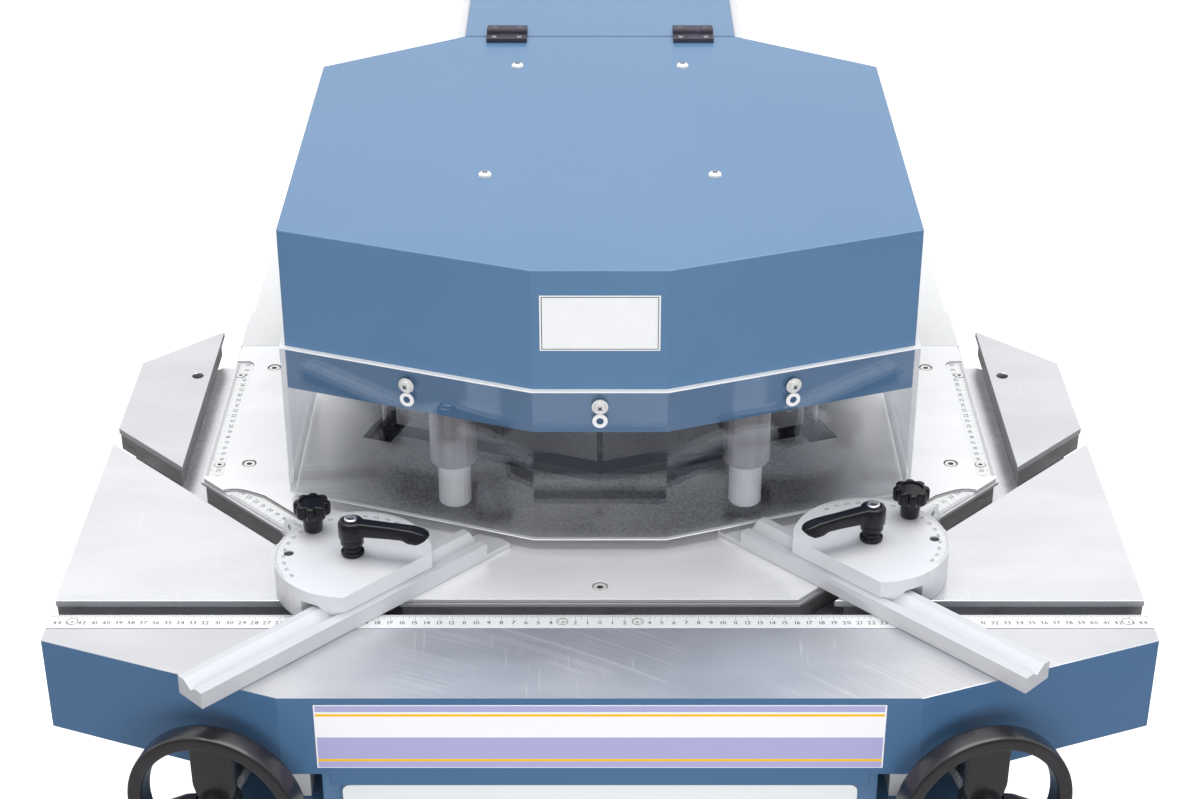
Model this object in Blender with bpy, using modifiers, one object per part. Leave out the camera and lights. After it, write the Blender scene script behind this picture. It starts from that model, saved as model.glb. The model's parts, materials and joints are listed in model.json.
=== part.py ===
"""Variable-angle corner notcher, floor standing, with a slotted table and two mitre gauges.

Metres, +Z up, +Y towards the back of the machine. The world origin is on the floor below the
middle of the machine. Most pieces hang from an empty on the table top, at the middle of the
front rule, so their heights are measured from the table top.
"""
import math

import bmesh
import bpy

# Whole machine
TABLE_HEIGHT = 0.920
SEAT = 0.0003
OVERRUN = 0.002
MERGE = 0.00001
SMOOTH_ANGLE = math.radians(35)

# Table plates
TABLE_HALF_WIDTH = 0.448
TABLE_FRONT = -0.1035
FRONT_CORNER_X = 0.250
SIDE_CORNER_Y = -0.027
PLATE_THICKNESS = 0.025
APRON_DEPTH = 0.085
APRON_WALL = 0.012
APRON_NOTCH_INNER = 0.213
APRON_NOTCH_OUTER = 0.320
APRON_NOTCH_DEPTH = 0.011

# T-slots
SLOT_WIDTH = 0.020
SLOT_LIP = 0.006
SLOT_UNDERCUT = 0.0035
SIDE_PLATE_WIDTH = 0.0705
DIAGONAL_SLOT_OFFSET = 0.149

# Rules
FRONT_RULE_WIDTH = 0.019
RULE_THICKNESS = 0.0012
SIDE_RULE_WIDTH = 0.017
SIDE_RULE_LEAD = 0.019
SIDE_RULE_REAR = 0.445
SIDE_RULE_ROUND = 0.008
DIAGONAL_RULE_WIDTH = 0.0192
DIAGONAL_RULE_FRONT = 0.062
DIAGONAL_RULE_SETBACK = 0.0062
DIAGONAL_RULE_ROUND = 0.009

# Rear side plates
SIDE_PLATE_REAR = 0.441
SIDE_PLATE_TAPER = 0.066
SIDE_PLATE_HOLE_INSET = 0.058
SIDE_PLATE_HOLE_SETBACK = 0.026
SIDE_PLATE_HOLE_RADIUS = 0.0055

# Centre plate, centre base and bed
CENTRE_REAR = 0.477
CENTRE_SKIN = 0.003
CENTRE_LIP = 0.0022
CENTRE_SCREW_RADIUS = 0.0065
CENTRE_SCREW_INSET = 0.0395
CENTRE_SCREW_FRONT = 0.051
CENTRE_SCREW_LEAD = 0.0415
CENTRE_SCREW_SETBACK = 0.045
BED_THICKNESS = 0.0347
BED_INSET = 0.0155

# Cutting head, in the frame of the vertex where the two blades meet
VERTEX_Y = 0.232
BLADE_ANGLE = math.radians(20)
SWING = math.radians(55)
BLADE_LENGTH = 0.200
BLADE_GAP = 0.00015
BLADE_CLEAR = math.radians(1)
LOWER_BLADE_THICKNESS = 0.014
LOWER_BLADE_HEIGHT = 0.020
UPPER_BLADE_THICKNESS = 0.012
UPPER_BLADE_HEIGHT = 0.040
UPPER_BLADE_REST = 0.012
UPPER_WEDGE = math.radians(14)
UPPER_TIP = 0.003

# Lower sectors and their pivot
WELL_RADIUS = 0.229
WELL_MARGIN = math.radians(2)
SECTOR_RADIUS = 0.226
SECTOR_TIP = 0.020
SECTOR_MID = -0.070
SECTOR_BOTTOM = -0.108
WHEEL_TEETH = 180
ARC_TEETH = 38
ARC_LEAD = math.radians(3)
TOOTH_DEPTH = 0.0042
TOOTH_TIP_SHARE = 0.30
TOOTH_ROOT_SHARE = 0.72
KNUCKLE_RADIUS = 0.030
KNUCKLE_CLEAR = 0.001
KNUCKLE_NECK_RADIUS = 0.045
KNUCKLE_NECK_HALF_ANGLE = math.radians(18)
PIVOT_PIN_RADIUS = 0.012
PIVOT_FLANGE_RADIUS = 0.040
PIVOT_FLANGE_THICKNESS = 0.014
POST_RADIUS = 0.008
POST_REACH = 0.216
POST_LAG = math.radians(5.3)
POST_TOP = 0.128
POST_LUG_WALL = 0.0025

# Upper holders
HOLDER_BOTTOM = 0.030
HOLDER_TOP = 0.0917
HOLDER_START = 0.058
HOLDER_EYE_WALL = 0.006
HOLDER_ARM_FRONT = 0.011
HOLDER_ARM_LENGTH = 0.080
HOLDER_RING_RADIUS = 0.019
HOLDER_PIN_RADIUS = 0.010
HOLDER_PIN_HEAD_RADIUS = 0.014
HOLDER_PIN_HEAD_BOTTOM = 0.0545
HOLDER_RING_BOTTOM = 0.0627

# Ram and cylinder
RAM_Y = 0.290
RAM_PLATE_HALF_WIDTH = 0.090
RAM_PLATE_FRONT = 0.205
RAM_PLATE_REAR = 0.400
RAM_PLATE_THICKNESS = 0.030
RAM_PLATE_ROUND = 0.012
RAM_ROD_RADIUS = 0.030
RAM_ROD_TOP = 0.205
BARREL_RADIUS = 0.060
BARREL_FLANGE_RADIUS = 0.072
BARREL_FLANGE_THICKNESS = 0.0135
BARREL_TOP = 0.246
BARREL_CAP = 0.010

# C-frame
ARM_INNER = 0.095
ARM_THICKNESS = 0.030
ARM_FRONT = 0.195
ARM_BOTTOM = 0.135
ARM_TOP = 0.250
COLUMN_LEAD = 0.045
COLUMN_INSET = 0.015
THROAT_ROUND = 0.040
HEAD_FRONT = 0.212
HEAD_REAR = 0.368
HEAD_BOTTOM = 0.150
HEAD_TOP = 0.236
NOSE_TOP = 0.200
NOSE_HALF_WIDTH = 0.155
FOOT_PLATE = 0.020
BACK_PLATE_INSET = 0.100
BACK_PLATE_THICKNESS = 0.030
CHEEK_THICKNESS = 0.008
CHEEK_TOP = 0.254
CHEEK_LAG = 0.005

# Hold-downs
HOLD_DOWN_X = 0.126
HOLD_DOWN_Y = 0.168
HOLD_DOWN_RADIUS = 0.0142
HOLD_DOWN_REST = 0.012
HOLD_DOWN_HEAD_TOP = 0.0515
HOLD_DOWN_STEM_RADIUS = 0.009
HOLD_DOWN_STEM_TOP = 0.180
HOLD_DOWN_EDGE = 0.0015
HOLD_BARREL_RADIUS = 0.0205
HOLD_BARREL_BOTTOM = 0.055
HOLD_BARREL_TOP = 0.205
HOLD_BARREL_COLLAR_RADIUS = 0.0225
HOLD_BARREL_COLLAR_BOTTOM = 0.1405

# Hood, guard and rear cover
HOOD_TOP = 0.262
HOOD_BOTTOM = 0.113
HOOD_SHEET = 0.002
HOOD_FRONT = 0.1105
HOOD_FRONT_HALF = 0.0555
HOOD_SHOULDER_Y = 0.187
HOOD_HALF_WIDTH = 0.268
HOOD_REAR_TAPER = 0.084
HOOD_REAR = 0.645
HOOD_REAR_HALF = 0.135
HOOD_REAR_LIP = 0.003
COVER_LENGTH = 0.2545
GUARD_SHEET = 0.004
GUARD_BOTTOM = 0.010
GUARD_TOP = 0.154
GUARD_REAR = 0.370
COVER_GAP = 0.0005
COVER_REAR_CLEAR = 0.010

# Hood hinges
HINGE_X = 0.093
HINGE_LENGTH = 0.040
HINGE_LEAF = 0.0195
HINGE_THICKNESS = 0.004
HINGE_KNUCKLE_RADIUS = 0.0042
HINGE_AXIS_HEIGHT = 0.2668
HINGE_PIN_RADIUS = 0.0018
HINGE_KNUCKLE_GAP = 0.0004
HINGE_MIDDLE_SHARE = 0.4

# Rear deck
DECK_SIDE_GAP = 0.0005
DECK_STEP = 0.004
DECK_STEP_SETBACK = 0.073
DECK_WALL = 0.012
SHOULDER_DEPTH = 0.125

# Cabinet and door
CABINET_HALF_WIDTH = 0.300
CABINET_FRONT = -0.085
CABINET_WALL = 0.004
RISER_HALF_WIDTH = 0.222
RISER_THICKNESS = 0.025
DOOR_HALF_WIDTH = 0.2045
DOOR_THICKNESS = 0.011
DOOR_TOP = -0.0905
DOOR_BOTTOM_HEIGHT = 0.110
DOOR_WALL = 0.002
DOOR_ROUND = 0.006
DOORWAY_MARGIN = 0.020
SCRAP_HALF_WIDTH = 0.150
SCRAP_FRONT = 0.285
SCRAP_REAR = 0.440

# Gussets
GUSSET_INNER = 0.234
GUSSET_THICKNESS = 0.015
GUSSET_FRONT = -0.068
GUSSET_REAR = 0.030

# Handwheels and worm shafts, which stand turned outwards
SHAFT_TURN = math.radians(14)
WHEEL_X = 0.3005
WHEEL_Y = -0.120
WHEEL_DEPTH = 0.092
WHEEL_RADIUS = 0.0722
WHEEL_RIM_WIDTH = 0.0128
WHEEL_RIM_DEPTH = 0.022
WHEEL_RIM_ROUND = 0.0045
WHEEL_HUB_RADIUS = 0.0155
WHEEL_HUB_FRONT = 0.016
WHEEL_HUB_REAR = 0.016
WHEEL_HUB_CAP = 0.008
WHEEL_SPOKES = 3
WHEEL_SPOKE_WIDTH = 0.036
WHEEL_SPOKE_THICKNESS = 0.009
SHAFT_RADIUS = 0.010
SHAFT_END = 0.005
WORM_STARTS = 4
WORM_CORE_RADIUS = 0.0115
WORM_COLLAR_RADIUS = 0.0155
WORM_COLLAR = 0.004
WORM_HALF_LENGTH = 0.044
WORM_CLEAR = 0.0012
BEARING_HALF_WIDTH = 0.017
BEARING_LENGTH = 0.030
BEARING_DROP = 0.022
BEARING_WELL_GAP = 0.001
FRONT_BEARING_REACH = 0.085

# Mitre gauges, in the frame of the gauge pivot: +X outwards along the slot
LEFT_GAUGE_X = 0.204
RIGHT_GAUGE_X = 0.226
GAUGE_RADIUS = 0.065
GAUGE_CHORD = 0.045
GAUGE_TOP = 0.030
GAUGE_SKIRT = 0.0008
INDEX_HOLE_REACH = 0.053
INDEX_HOLE_RADIUS = 0.0042
INDEX_HOLE_DEPTH = 0.012
SLIDER_INNER = 0.022
SLIDER_OUTER = 0.094
SLIDER_SIDE_CLEAR = 0.0004
SLIDER_FOOT_THICKNESS = 0.012
SLIDER_BOSS_RADIUS = 0.010
SLIDER_BOSS_TOP = 0.014
LUG_INNER = 0.068
LUG_THICKNESS = 0.0036
LUG_TOP = 0.025
LUG_HOLE_X = 0.083
LUG_HOLE_Z = 0.019
LUG_HOLE_RADIUS = 0.0026
BAR_BACK = 0.021
BAR_WIDTH = 0.030
BAR_RIDGE = 0.017
BAR_LAND = 0.015
BAR_GROOVE = 0.011
BAR_RIDGE_SHARE = 0.25
BAR_GROOVE_SHARE = 0.54
BAR_LAND_SHARE = 0.71
BAR_FRONT = 0.193
BAR_REAR = 0.129
BAR_STEP = 0.103
BAR_TOE = 0.0045
RIGHT_BAR_WITHDRAWN = 0.0036
RECESS_INNER = 0.011
RECESS_TOP = 0.0192
LEVER_LENGTH = 0.066
LEVER_RADIUS = 0.011
LEVER_HEIGHT = 0.0335
LEVER_WIDTH = 0.0125
LEVER_TURNS = {-1: math.radians(-12.4), 1: math.radians(204.6)}
KNOB_REACH = 0.0516
KNOB_RADIUS = 0.0155
KNOB_LOBES = 8
KNOB_LOBE_DEPTH = 0.0016
KNOB_HEAD_BOTTOM = 0.043
KNOB_TOP = 0.058
KNOB_STEM_RADIUS = 0.0085
KNOB_EDGE = 0.0015

# Hydraulics
TANK_HALF_WIDTH = 0.170
TANK_LENGTH = 0.340
TANK_INSET = 0.040
TANK_HEIGHT = 0.300
TANK_ROUND = 0.015
MOTOR_X = -0.065
MOTOR_LEAD = 0.170
MOTOR_RADIUS = 0.080
MOTOR_HEIGHT = 0.260
PIPE_X = 0.050
PIPE_LAG = 0.055
PIPE_RADIUS = 0.006
PIPE_HEIGHT = 0.195
PIPE_BEND = 0.040
PIPE_HOLE_CLEAR = 0.002

# Values worked out from the ones above
HALF_SLOT = SLOT_WIDTH / 2
SLOT_NEAR = FRONT_RULE_WIDTH / 2
SLOT_FAR = SLOT_NEAR + SLOT_WIDTH
DIAGONAL_HALF = HALF_SLOT * math.sqrt(2)
WING_OFFSET = DIAGONAL_SLOT_OFFSET + DIAGONAL_HALF
INNER_OFFSET = DIAGONAL_SLOT_OFFSET - DIAGONAL_HALF
SIDE_SLOT_OUTER = TABLE_HALF_WIDTH - SIDE_PLATE_WIDTH
SIDE_SLOT_INNER = SIDE_SLOT_OUTER - SLOT_WIDTH
MEETING_Y = SIDE_SLOT_INNER - DIAGONAL_SLOT_OFFSET
SIDE_RULE_FRONT = MEETING_Y + SIDE_RULE_LEAD
DIAGONAL_RULE_REAR = MEETING_Y - DIAGONAL_RULE_SETBACK
SIDE_PLATE_TIP = SIDE_PLATE_REAR + SIDE_PLATE_TAPER
SIDE_PLATE_HOLE_X = TABLE_HALF_WIDTH - SIDE_PLATE_HOLE_INSET
SIDE_PLATE_HOLE_Y = SIDE_PLATE_REAR - SIDE_PLATE_HOLE_SETBACK
CENTRE_SCREW_X = SIDE_SLOT_INNER - CENTRE_SCREW_INSET
CENTRE_SCREW_MIDDLE = MEETING_Y + CENTRE_SCREW_LEAD
CENTRE_SCREW_REAR = CENTRE_REAR - CENTRE_SCREW_SETBACK
DECK_HALF_WIDTH = SIDE_SLOT_INNER - DECK_SIDE_GAP
DECK_REAR_HALF_WIDTH = DECK_HALF_WIDTH - DECK_STEP
DECK_STEP_Y = CENTRE_REAR + DECK_STEP_SETBACK
HOOD_SIDE_REAR = HOOD_REAR - HOOD_REAR_TAPER
COVER_FRONT = HOOD_REAR + COVER_GAP
REAR_REACH = COVER_FRONT + COVER_LENGTH
COLUMN_FRONT = HOOD_REAR - COLUMN_LEAD
COLUMN_REAR = REAR_REACH - COLUMN_INSET
CHEEK_FRONT = HOOD_REAR + CHEEK_LAG
BACK_PLATE_FRONT = REAR_REACH - BACK_PLATE_INSET
TANK_REAR = REAR_REACH - TANK_INSET
TANK_FRONT = TANK_REAR - TANK_LENGTH
MOTOR_Y = TANK_FRONT + MOTOR_LEAD
PIPE_Y = HOOD_REAR + PIPE_LAG
GAUGE_X = {-1: LEFT_GAUGE_X, 1: RIGHT_GAUGE_X}
BAR_WITHDRAWN = {-1: 0, 1: RIGHT_BAR_WITHDRAWN}
WHEEL_FRONT = (WHEEL_Y - WHEEL_RIM_DEPTH / 2 * math.cos(SHAFT_TURN)
               - (WHEEL_RADIUS - WHEEL_RIM_ROUND) * math.sin(SHAFT_TURN))
WORM_DISTANCE = WHEEL_X * math.cos(SHAFT_TURN) - (VERTEX_Y - WHEEL_Y) * math.sin(SHAFT_TURN)
WORM_REACH = WHEEL_X * math.sin(SHAFT_TURN) + (VERTEX_Y - WHEEL_Y) * math.cos(SHAFT_TURN)
ARC_RADIUS = WORM_DISTANCE - WORM_CORE_RADIUS - WORM_CLEAR
TOOTH_PITCH = 2 * math.pi / WHEEL_TEETH
ARC_TAIL = ARC_TEETH * TOOTH_PITCH - ARC_LEAD
MESH_OVERLAP = ARC_RADIUS + WORM_COLLAR_RADIUS - WORM_DISTANCE
WORM_PITCH_RADIUS = WORM_COLLAR_RADIUS - MESH_OVERLAP / 2
WORM_LEAD = WORM_STARTS * TOOTH_PITCH * (WORM_DISTANCE - WORM_PITCH_RADIUS)
TOOTH_SLANT = WORM_LEAD / (2 * math.pi * WORM_PITCH_RADIUS) / (WORM_DISTANCE - WORM_PITCH_RADIUS)
BEARING_INNER = WORM_DISTANCE - BEARING_HALF_WIDTH
REAR_BEARING_REACH = (WORM_REACH + BEARING_LENGTH / 2
                      + math.sqrt((WELL_RADIUS + BEARING_WELL_GAP) ** 2 - BEARING_INNER ** 2))
SHAFT_REACH = REAR_BEARING_REACH + BEARING_LENGTH / 2 + SHAFT_END
DATUM_Y = -(REAR_REACH + WHEEL_FRONT) / 2
BED_TOP = -PLATE_THICKNESS - SEAT
BED_BOTTOM = BED_TOP - BED_THICKNESS
SHOULDER_TOP = -SHOULDER_DEPTH
FLOOR = -TABLE_HEIGHT
RAM_PLATE_BOTTOM = HOLDER_TOP + SEAT
RAM_PLATE_TOP = RAM_PLATE_BOTTOM + RAM_PLATE_THICKNESS
ARM_OUTER = ARM_INNER + ARM_THICKNESS
CHEEK_INNER = HOOD_REAR_HALF + COVER_GAP
CHEEK_OUTER = CHEEK_INNER + CHEEK_THICKNESS
GUARD_INNER = SEAT
POST_X = POST_REACH * math.cos(POST_LAG)
POST_Y = POST_REACH * math.sin(POST_LAG)
HALF_KNUCKLE = (SECTOR_MID - SECTOR_BOTTOM - SEAT) / 2
HALF_RING = (HOLDER_TOP - HOLDER_RING_BOTTOM - SEAT) / 2
SIDES = {-1: "left", 1: "right"}

STEEL = (0.42, 0.43, 0.45)
DARK_STEEL = (0.16, 0.165, 0.175)
BLUE = (0.075, 0.185, 0.345)
LIGHT_GREY = (0.72, 0.73, 0.74)
ALUMINIUM = (0.78, 0.79, 0.81)
BLACK = (0.022, 0.022, 0.025)
CLEAR = (0.85, 0.88, 0.92)


def clear_scene():
    for obj in list(bpy.data.objects):
        bpy.data.objects.remove(obj)


def new_collection(name):
    collection = bpy.data.collections.new(name)
    bpy.context.scene.collection.children.link(collection)
    return collection


def new_empty(name, place, turn=0.0, parent=None):
    empty = bpy.data.objects.new(name, None)
    empty.location = place
    empty.rotation_euler = (0, 0, turn)
    empty.parent = parent
    PARTS.objects.link(empty)
    return empty


def add_material(obj, colour, roughness, metallic, alpha=1.0):
    material = bpy.data.materials.new(obj.name)
    material.use_nodes = True
    shader = material.node_tree.nodes["Principled BSDF"]
    shader.inputs["Base Color"].default_value = (*colour, 1)
    shader.inputs["Roughness"].default_value = roughness
    shader.inputs["Metallic"].default_value = metallic
    shader.inputs["Alpha"].default_value = alpha
    obj.data.materials.append(material)


def as_part(obj, finish, parent=None):
    """Puts an object among the parts, with a finish of colour, roughness and metallic value."""
    obj.parent = parent or DATUM
    PARTS.objects.link(obj)
    add_material(obj, *finish)
    if len(obj.data.polygons):
        obj.data.shade_smooth()
        obj.data.set_sharp_from_angle(angle=SMOOTH_ANGLE)
    return obj


def as_tool(obj, parent=None):
    """Puts an object among the hidden solids that cut or extend a part."""
    obj.parent = parent or DATUM
    obj.hide_render = True
    obj.display_type = "WIRE"
    TOOLS.objects.link(obj)
    return obj


def boolean(target, tool, operation):
    modifier = target.modifiers.new(operation.lower(), "BOOLEAN")
    modifier.operation = operation
    modifier.solver = "EXACT"
    modifier.object = tool


def cut(target, *tools):
    for tool in tools:
        boolean(target, as_tool(tool, target.parent), "DIFFERENCE")


def join(target, *tools):
    for tool in tools:
        boolean(target, as_tool(tool, target.parent), "UNION")


def flat(name, outlines, low, high):
    """A flat plate between two heights from a closed outline, any further outlines being holes."""
    curve = bpy.data.curves.new(name + "_outline", "CURVE")
    curve.dimensions = "2D"
    curve.fill_mode = "BOTH"
    curve.extrude = (high - low) / 2
    for outline in outlines:
        spline = curve.splines.new("POLY")
        spline.points.add(len(outline) - 1)
        for point, (x, y) in zip(spline.points, outline):
            point.co = (x, y, 0, 1)
        spline.use_cyclic_u = True
    guide = bpy.data.objects.new(name + "_guide", curve)
    bpy.context.scene.collection.objects.link(guide)
    bpy.context.view_layer.update()
    seen = guide.evaluated_get(bpy.context.evaluated_depsgraph_get())
    mesh = bpy.data.meshes.new_from_object(seen)
    mesh.name = name
    bpy.data.objects.remove(guide)
    shape = bmesh.new()
    shape.from_mesh(mesh)
    bmesh.ops.remove_doubles(shape, verts=shape.verts, dist=MERGE)
    bmesh.ops.translate(shape, verts=shape.verts, vec=(0, 0, (low + high) / 2))
    bmesh.ops.recalc_face_normals(shape, faces=shape.faces)
    shape.to_mesh(mesh)
    shape.free()
    return bpy.data.objects.new(name, mesh)


def box(name, low, high):
    """A box between two opposite corners, its origin at its middle."""
    mesh = bpy.data.meshes.new(name)
    shape = bmesh.new()
    bmesh.ops.create_cube(shape, size=1)
    bmesh.ops.scale(shape, verts=shape.verts, vec=[b - a for a, b in zip(low, high)])
    shape.to_mesh(mesh)
    shape.free()
    obj = bpy.data.objects.new(name, mesh)
    obj.location = [(a + b) / 2 for a, b in zip(low, high)]
    return obj


def cylinder(name, radius, low, high, x=0.0, y=0.0, segments=20):
    """An upright cylinder between two heights."""
    mesh = bpy.data.meshes.new(name)
    shape = bmesh.new()
    bmesh.ops.create_cone(shape, cap_ends=True, segments=segments, radius1=radius, radius2=radius,
                          depth=high - low)
    shape.to_mesh(mesh)
    shape.free()
    obj = bpy.data.objects.new(name, mesh)
    obj.location = (x, y, (low + high) / 2)
    return obj


def lay_along_y(obj):
    """Turns an upright object so that its top points towards -Y."""
    obj.rotation_euler = (math.pi / 2, 0, 0)
    return obj


def turned(name, profile, steps=32, closed=False):
    """A solid of revolution about Z from (radius, height) points running down the outer side."""
    mesh = bpy.data.meshes.new(name)
    edges = [(i, i + 1) for i in range(len(profile) - 1)]
    if closed:
        edges.append((len(profile) - 1, 0))
    mesh.from_pydata([(r, 0, z) for r, z in profile], edges, [])
    obj = bpy.data.objects.new(name, mesh)
    screw = obj.modifiers.new("turn", "SCREW")
    screw.steps = steps
    screw.render_steps = steps
    screw.use_merge_vertices = True
    screw.merge_threshold = MERGE
    screw.use_smooth_shade = True
    return obj


def bevel(obj, width, segments=1, angle=SMOOTH_ANGLE):
    modifier = obj.modifiers.new("bevel", "BEVEL")
    modifier.width = width
    modifier.segments = segments
    modifier.limit_method = "ANGLE"
    modifier.angle_limit = angle
    return obj


def arc(centre, radius, start, end, steps):
    """Points on an arc, both ends included; angles in radians."""
    turns = [start + (end - start) * i / steps for i in range(steps + 1)]
    return [(centre[0] + radius * math.cos(t), centre[1] + radius * math.sin(t)) for t in turns]


def sided(points, side):
    """The outline mirrored in X for the left side, still running the same way round."""
    if side > 0:
        return list(points)
    return [(-x, y) for x, y in reversed(points)]


def both_sides(half):
    """A whole outline from its right half, which runs from front to back."""
    return list(half) + [(-x, y) for x, y in reversed(half) if abs(x) > MERGE]


def inset(points, distance):
    """A convex counter-clockwise outline moved inwards by a distance."""
    moved = []
    count = len(points)
    for i in range(count):
        before, here, after = points[i - 1], points[i], points[(i + 1) % count]
        a = math.atan2(here[1] - before[1], here[0] - before[0])
        b = math.atan2(after[1] - here[1], after[0] - here[0])
        half = (b - a) / 2
        mid = a + half + math.pi / 2
        reach = distance / math.cos(half)
        moved.append((here[0] + reach * math.cos(mid), here[1] + reach * math.sin(mid)))
    return moved


def rounded_rectangle(half_width, front, rear, radius, steps=4):
    quarter = math.pi / 2
    corners = ((half_width - radius, front + radius, -quarter), (half_width - radius, rear - radius, 0),
               (radius - half_width, rear - radius, quarter), (radius - half_width, front + radius, math.pi))
    points = []
    for x, y, start in corners:
        points += arc((x, y), radius, start, start + quarter, steps)
    return points


def slot_edge(name, start, end, inside):
    """The undercut of a T-slot along one edge of a plate, on the side of an inside point."""
    run = math.atan2(end[1] - start[1], end[0] - start[0])
    along = (math.cos(run), math.sin(run))
    across = (-along[1], along[0])
    if (inside[0] - start[0]) * across[0] + (inside[1] - start[1]) * across[1] < 0:
        across = (along[1], -along[0])

    def place(point, ahead, deep):
        return (point[0] + ahead * along[0] + deep * across[0], point[1] + ahead * along[1] + deep * across[1])

    outline = [place(start, -SLOT_WIDTH, -OVERRUN), place(end, SLOT_WIDTH, -OVERRUN),
               place(end, SLOT_WIDTH, SLOT_UNDERCUT), place(start, -SLOT_WIDTH, SLOT_UNDERCUT)]
    return flat(name, [outline], -PLATE_THICKNESS - OVERRUN, -SLOT_LIP)


def table_outline(rear):
    """The front table's outline back to a given rear edge."""
    return [(-FRONT_CORNER_X, TABLE_FRONT), (FRONT_CORNER_X, TABLE_FRONT),
            (TABLE_HALF_WIDTH, SIDE_CORNER_Y), (TABLE_HALF_WIDTH, rear),
            (-TABLE_HALF_WIDTH, rear), (-TABLE_HALF_WIDTH, SIDE_CORNER_Y)]


def make_front_table():
    table = flat("front_table", [table_outline(SLOT_NEAR)], -APRON_DEPTH, 0)
    as_part(table, (BLUE, 0.35, 0.0))
    hollow = inset(table_outline(SLOT_NEAR + APRON_WALL + OVERRUN), APRON_WALL)
    cut(table, flat("apron_hollow", [hollow], -APRON_DEPTH - OVERRUN, -PLATE_THICKNESS))
    for side, word in SIDES.items():
        inner, outer = sorted((side * APRON_NOTCH_INNER, side * APRON_NOTCH_OUTER))
        cut(table, box(word + "_apron_notch", (inner, TABLE_FRONT - OVERRUN, -APRON_DEPTH - OVERRUN),
                       (outer, SIDE_CORNER_Y, APRON_NOTCH_DEPTH - APRON_DEPTH)))
    edge = TABLE_HALF_WIDTH + OVERRUN
    cut(table,
        slot_edge("front_slot_near", (-TABLE_HALF_WIDTH, SLOT_NEAR), (TABLE_HALF_WIDTH, SLOT_NEAR), (0, 0)),
        box("front_rule_recess", (-edge, -SLOT_NEAR, -RULE_THICKNESS - SEAT), (edge, SLOT_NEAR + OVERRUN, OVERRUN)))


def make_wing_plates():
    tip = (WING_OFFSET + SLOT_FAR, SLOT_FAR)
    corner = (TABLE_HALF_WIDTH, SLOT_FAR)
    rear = (TABLE_HALF_WIDTH, TABLE_HALF_WIDTH - WING_OFFSET)
    for side, word in SIDES.items():
        outline = sided([tip, corner, rear], side)
        plate = as_part(flat(word + "_wing_plate", [outline], -PLATE_THICKNESS, 0), (STEEL, 0.3, 1.0))
        ends = [(side * x, y) for x, y in (tip, corner, rear)]
        cut(plate, slot_edge(word + "_wing_front_slot", ends[0], ends[1], ends[2]),
            slot_edge(word + "_wing_diagonal_slot", ends[0], ends[2], ends[1]))


def make_rear_side_plates():
    near = (SIDE_SLOT_OUTER, SIDE_SLOT_OUTER - INNER_OFFSET)
    far = (TABLE_HALF_WIDTH, TABLE_HALF_WIDTH - INNER_OFFSET)
    rear = (TABLE_HALF_WIDTH, SIDE_PLATE_REAR)
    tip = (SIDE_SLOT_OUTER, SIDE_PLATE_TIP)
    for side, word in SIDES.items():
        hole = arc((side * SIDE_PLATE_HOLE_X, SIDE_PLATE_HOLE_Y), SIDE_PLATE_HOLE_RADIUS, 0, 2 * math.pi, 16)[:-1]
        outline = sided([near, far, rear, tip], side)
        plate = as_part(flat(word + "_rear_side_plate", [outline, hole], -PLATE_THICKNESS, 0), (STEEL, 0.3, 1.0))
        ends = [(side * x, y) for x, y in (near, far, rear, tip)]
        cut(plate, slot_edge(word + "_side_diagonal_slot", ends[0], ends[1], ends[2]),
            slot_edge(word + "_side_plate_slot", ends[0], ends[3], ends[2]))


def well_outline(margin=0.0):
    """The well in which the lower sectors swing: a fan that is flat just in front of the vertex."""
    slope = SWING - BLADE_ANGLE + WELL_MARGIN
    depth = LOWER_BLADE_THICKNESS / math.cos(BLADE_ANGLE) + OVERRUN
    flat_half = depth / math.tan(slope)
    centre = (0, VERTEX_Y)
    rim = arc(centre, WELL_RADIUS + margin, -slope, math.pi + slope, 28)
    return [(flat_half, VERTEX_Y - depth)] + rim + [(-flat_half, VERTEX_Y - depth)]


def centre_corners(lip):
    """Right half of the centre plates' outline, set back from the slots by a lip."""
    offset = INNER_OFFSET - lip * math.sqrt(2)
    front = SLOT_FAR + lip
    side = SIDE_SLOT_INNER - lip
    return front, side, offset


def make_centre_base():
    front, side, offset = centre_corners(0)
    half = [(front + offset, front), (side, side - offset), (side, CENTRE_REAR - SEAT)]
    outline = both_sides(half)
    base = flat("centre_base", [outline, well_outline()], -PLATE_THICKNESS, -CENTRE_SKIN - SEAT)
    as_part(base, (DARK_STEEL, 0.45, 1.0))
    cut(base, slot_edge("centre_front_slot", (-half[0][0], front), (half[0][0], front), (0, CENTRE_REAR)))
    for way, word in SIDES.items():
        a, b, c = [(way * x, y) for x, y in half]
        cut(base, slot_edge(word + "_centre_diagonal_slot", a, b, (0, CENTRE_REAR)),
            slot_edge(word + "_centre_side_slot", b, c, (0, CENTRE_REAR)))


def diagonal_rule_end(offset, inner):
    """The S-shaped rear end of a diagonal rule, from the inner wall out to the slot edge."""
    start = (DIAGONAL_RULE_REAR - DIAGONAL_RULE_ROUND + inner, DIAGONAL_RULE_REAR - DIAGONAL_RULE_ROUND)
    end = (DIAGONAL_RULE_REAR + offset, DIAGONAL_RULE_REAR)
    points = []
    steps = 6
    for i in range(steps + 1):
        share = i / steps
        ease = share * share * (3 - 2 * share)
        points.append((start[0] + (end[0] - start[0]) * share,
                       start[1] + DIAGONAL_RULE_ROUND * (share * 2) * (1 - share) + (end[1] - start[1]) * ease))
    return points


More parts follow.
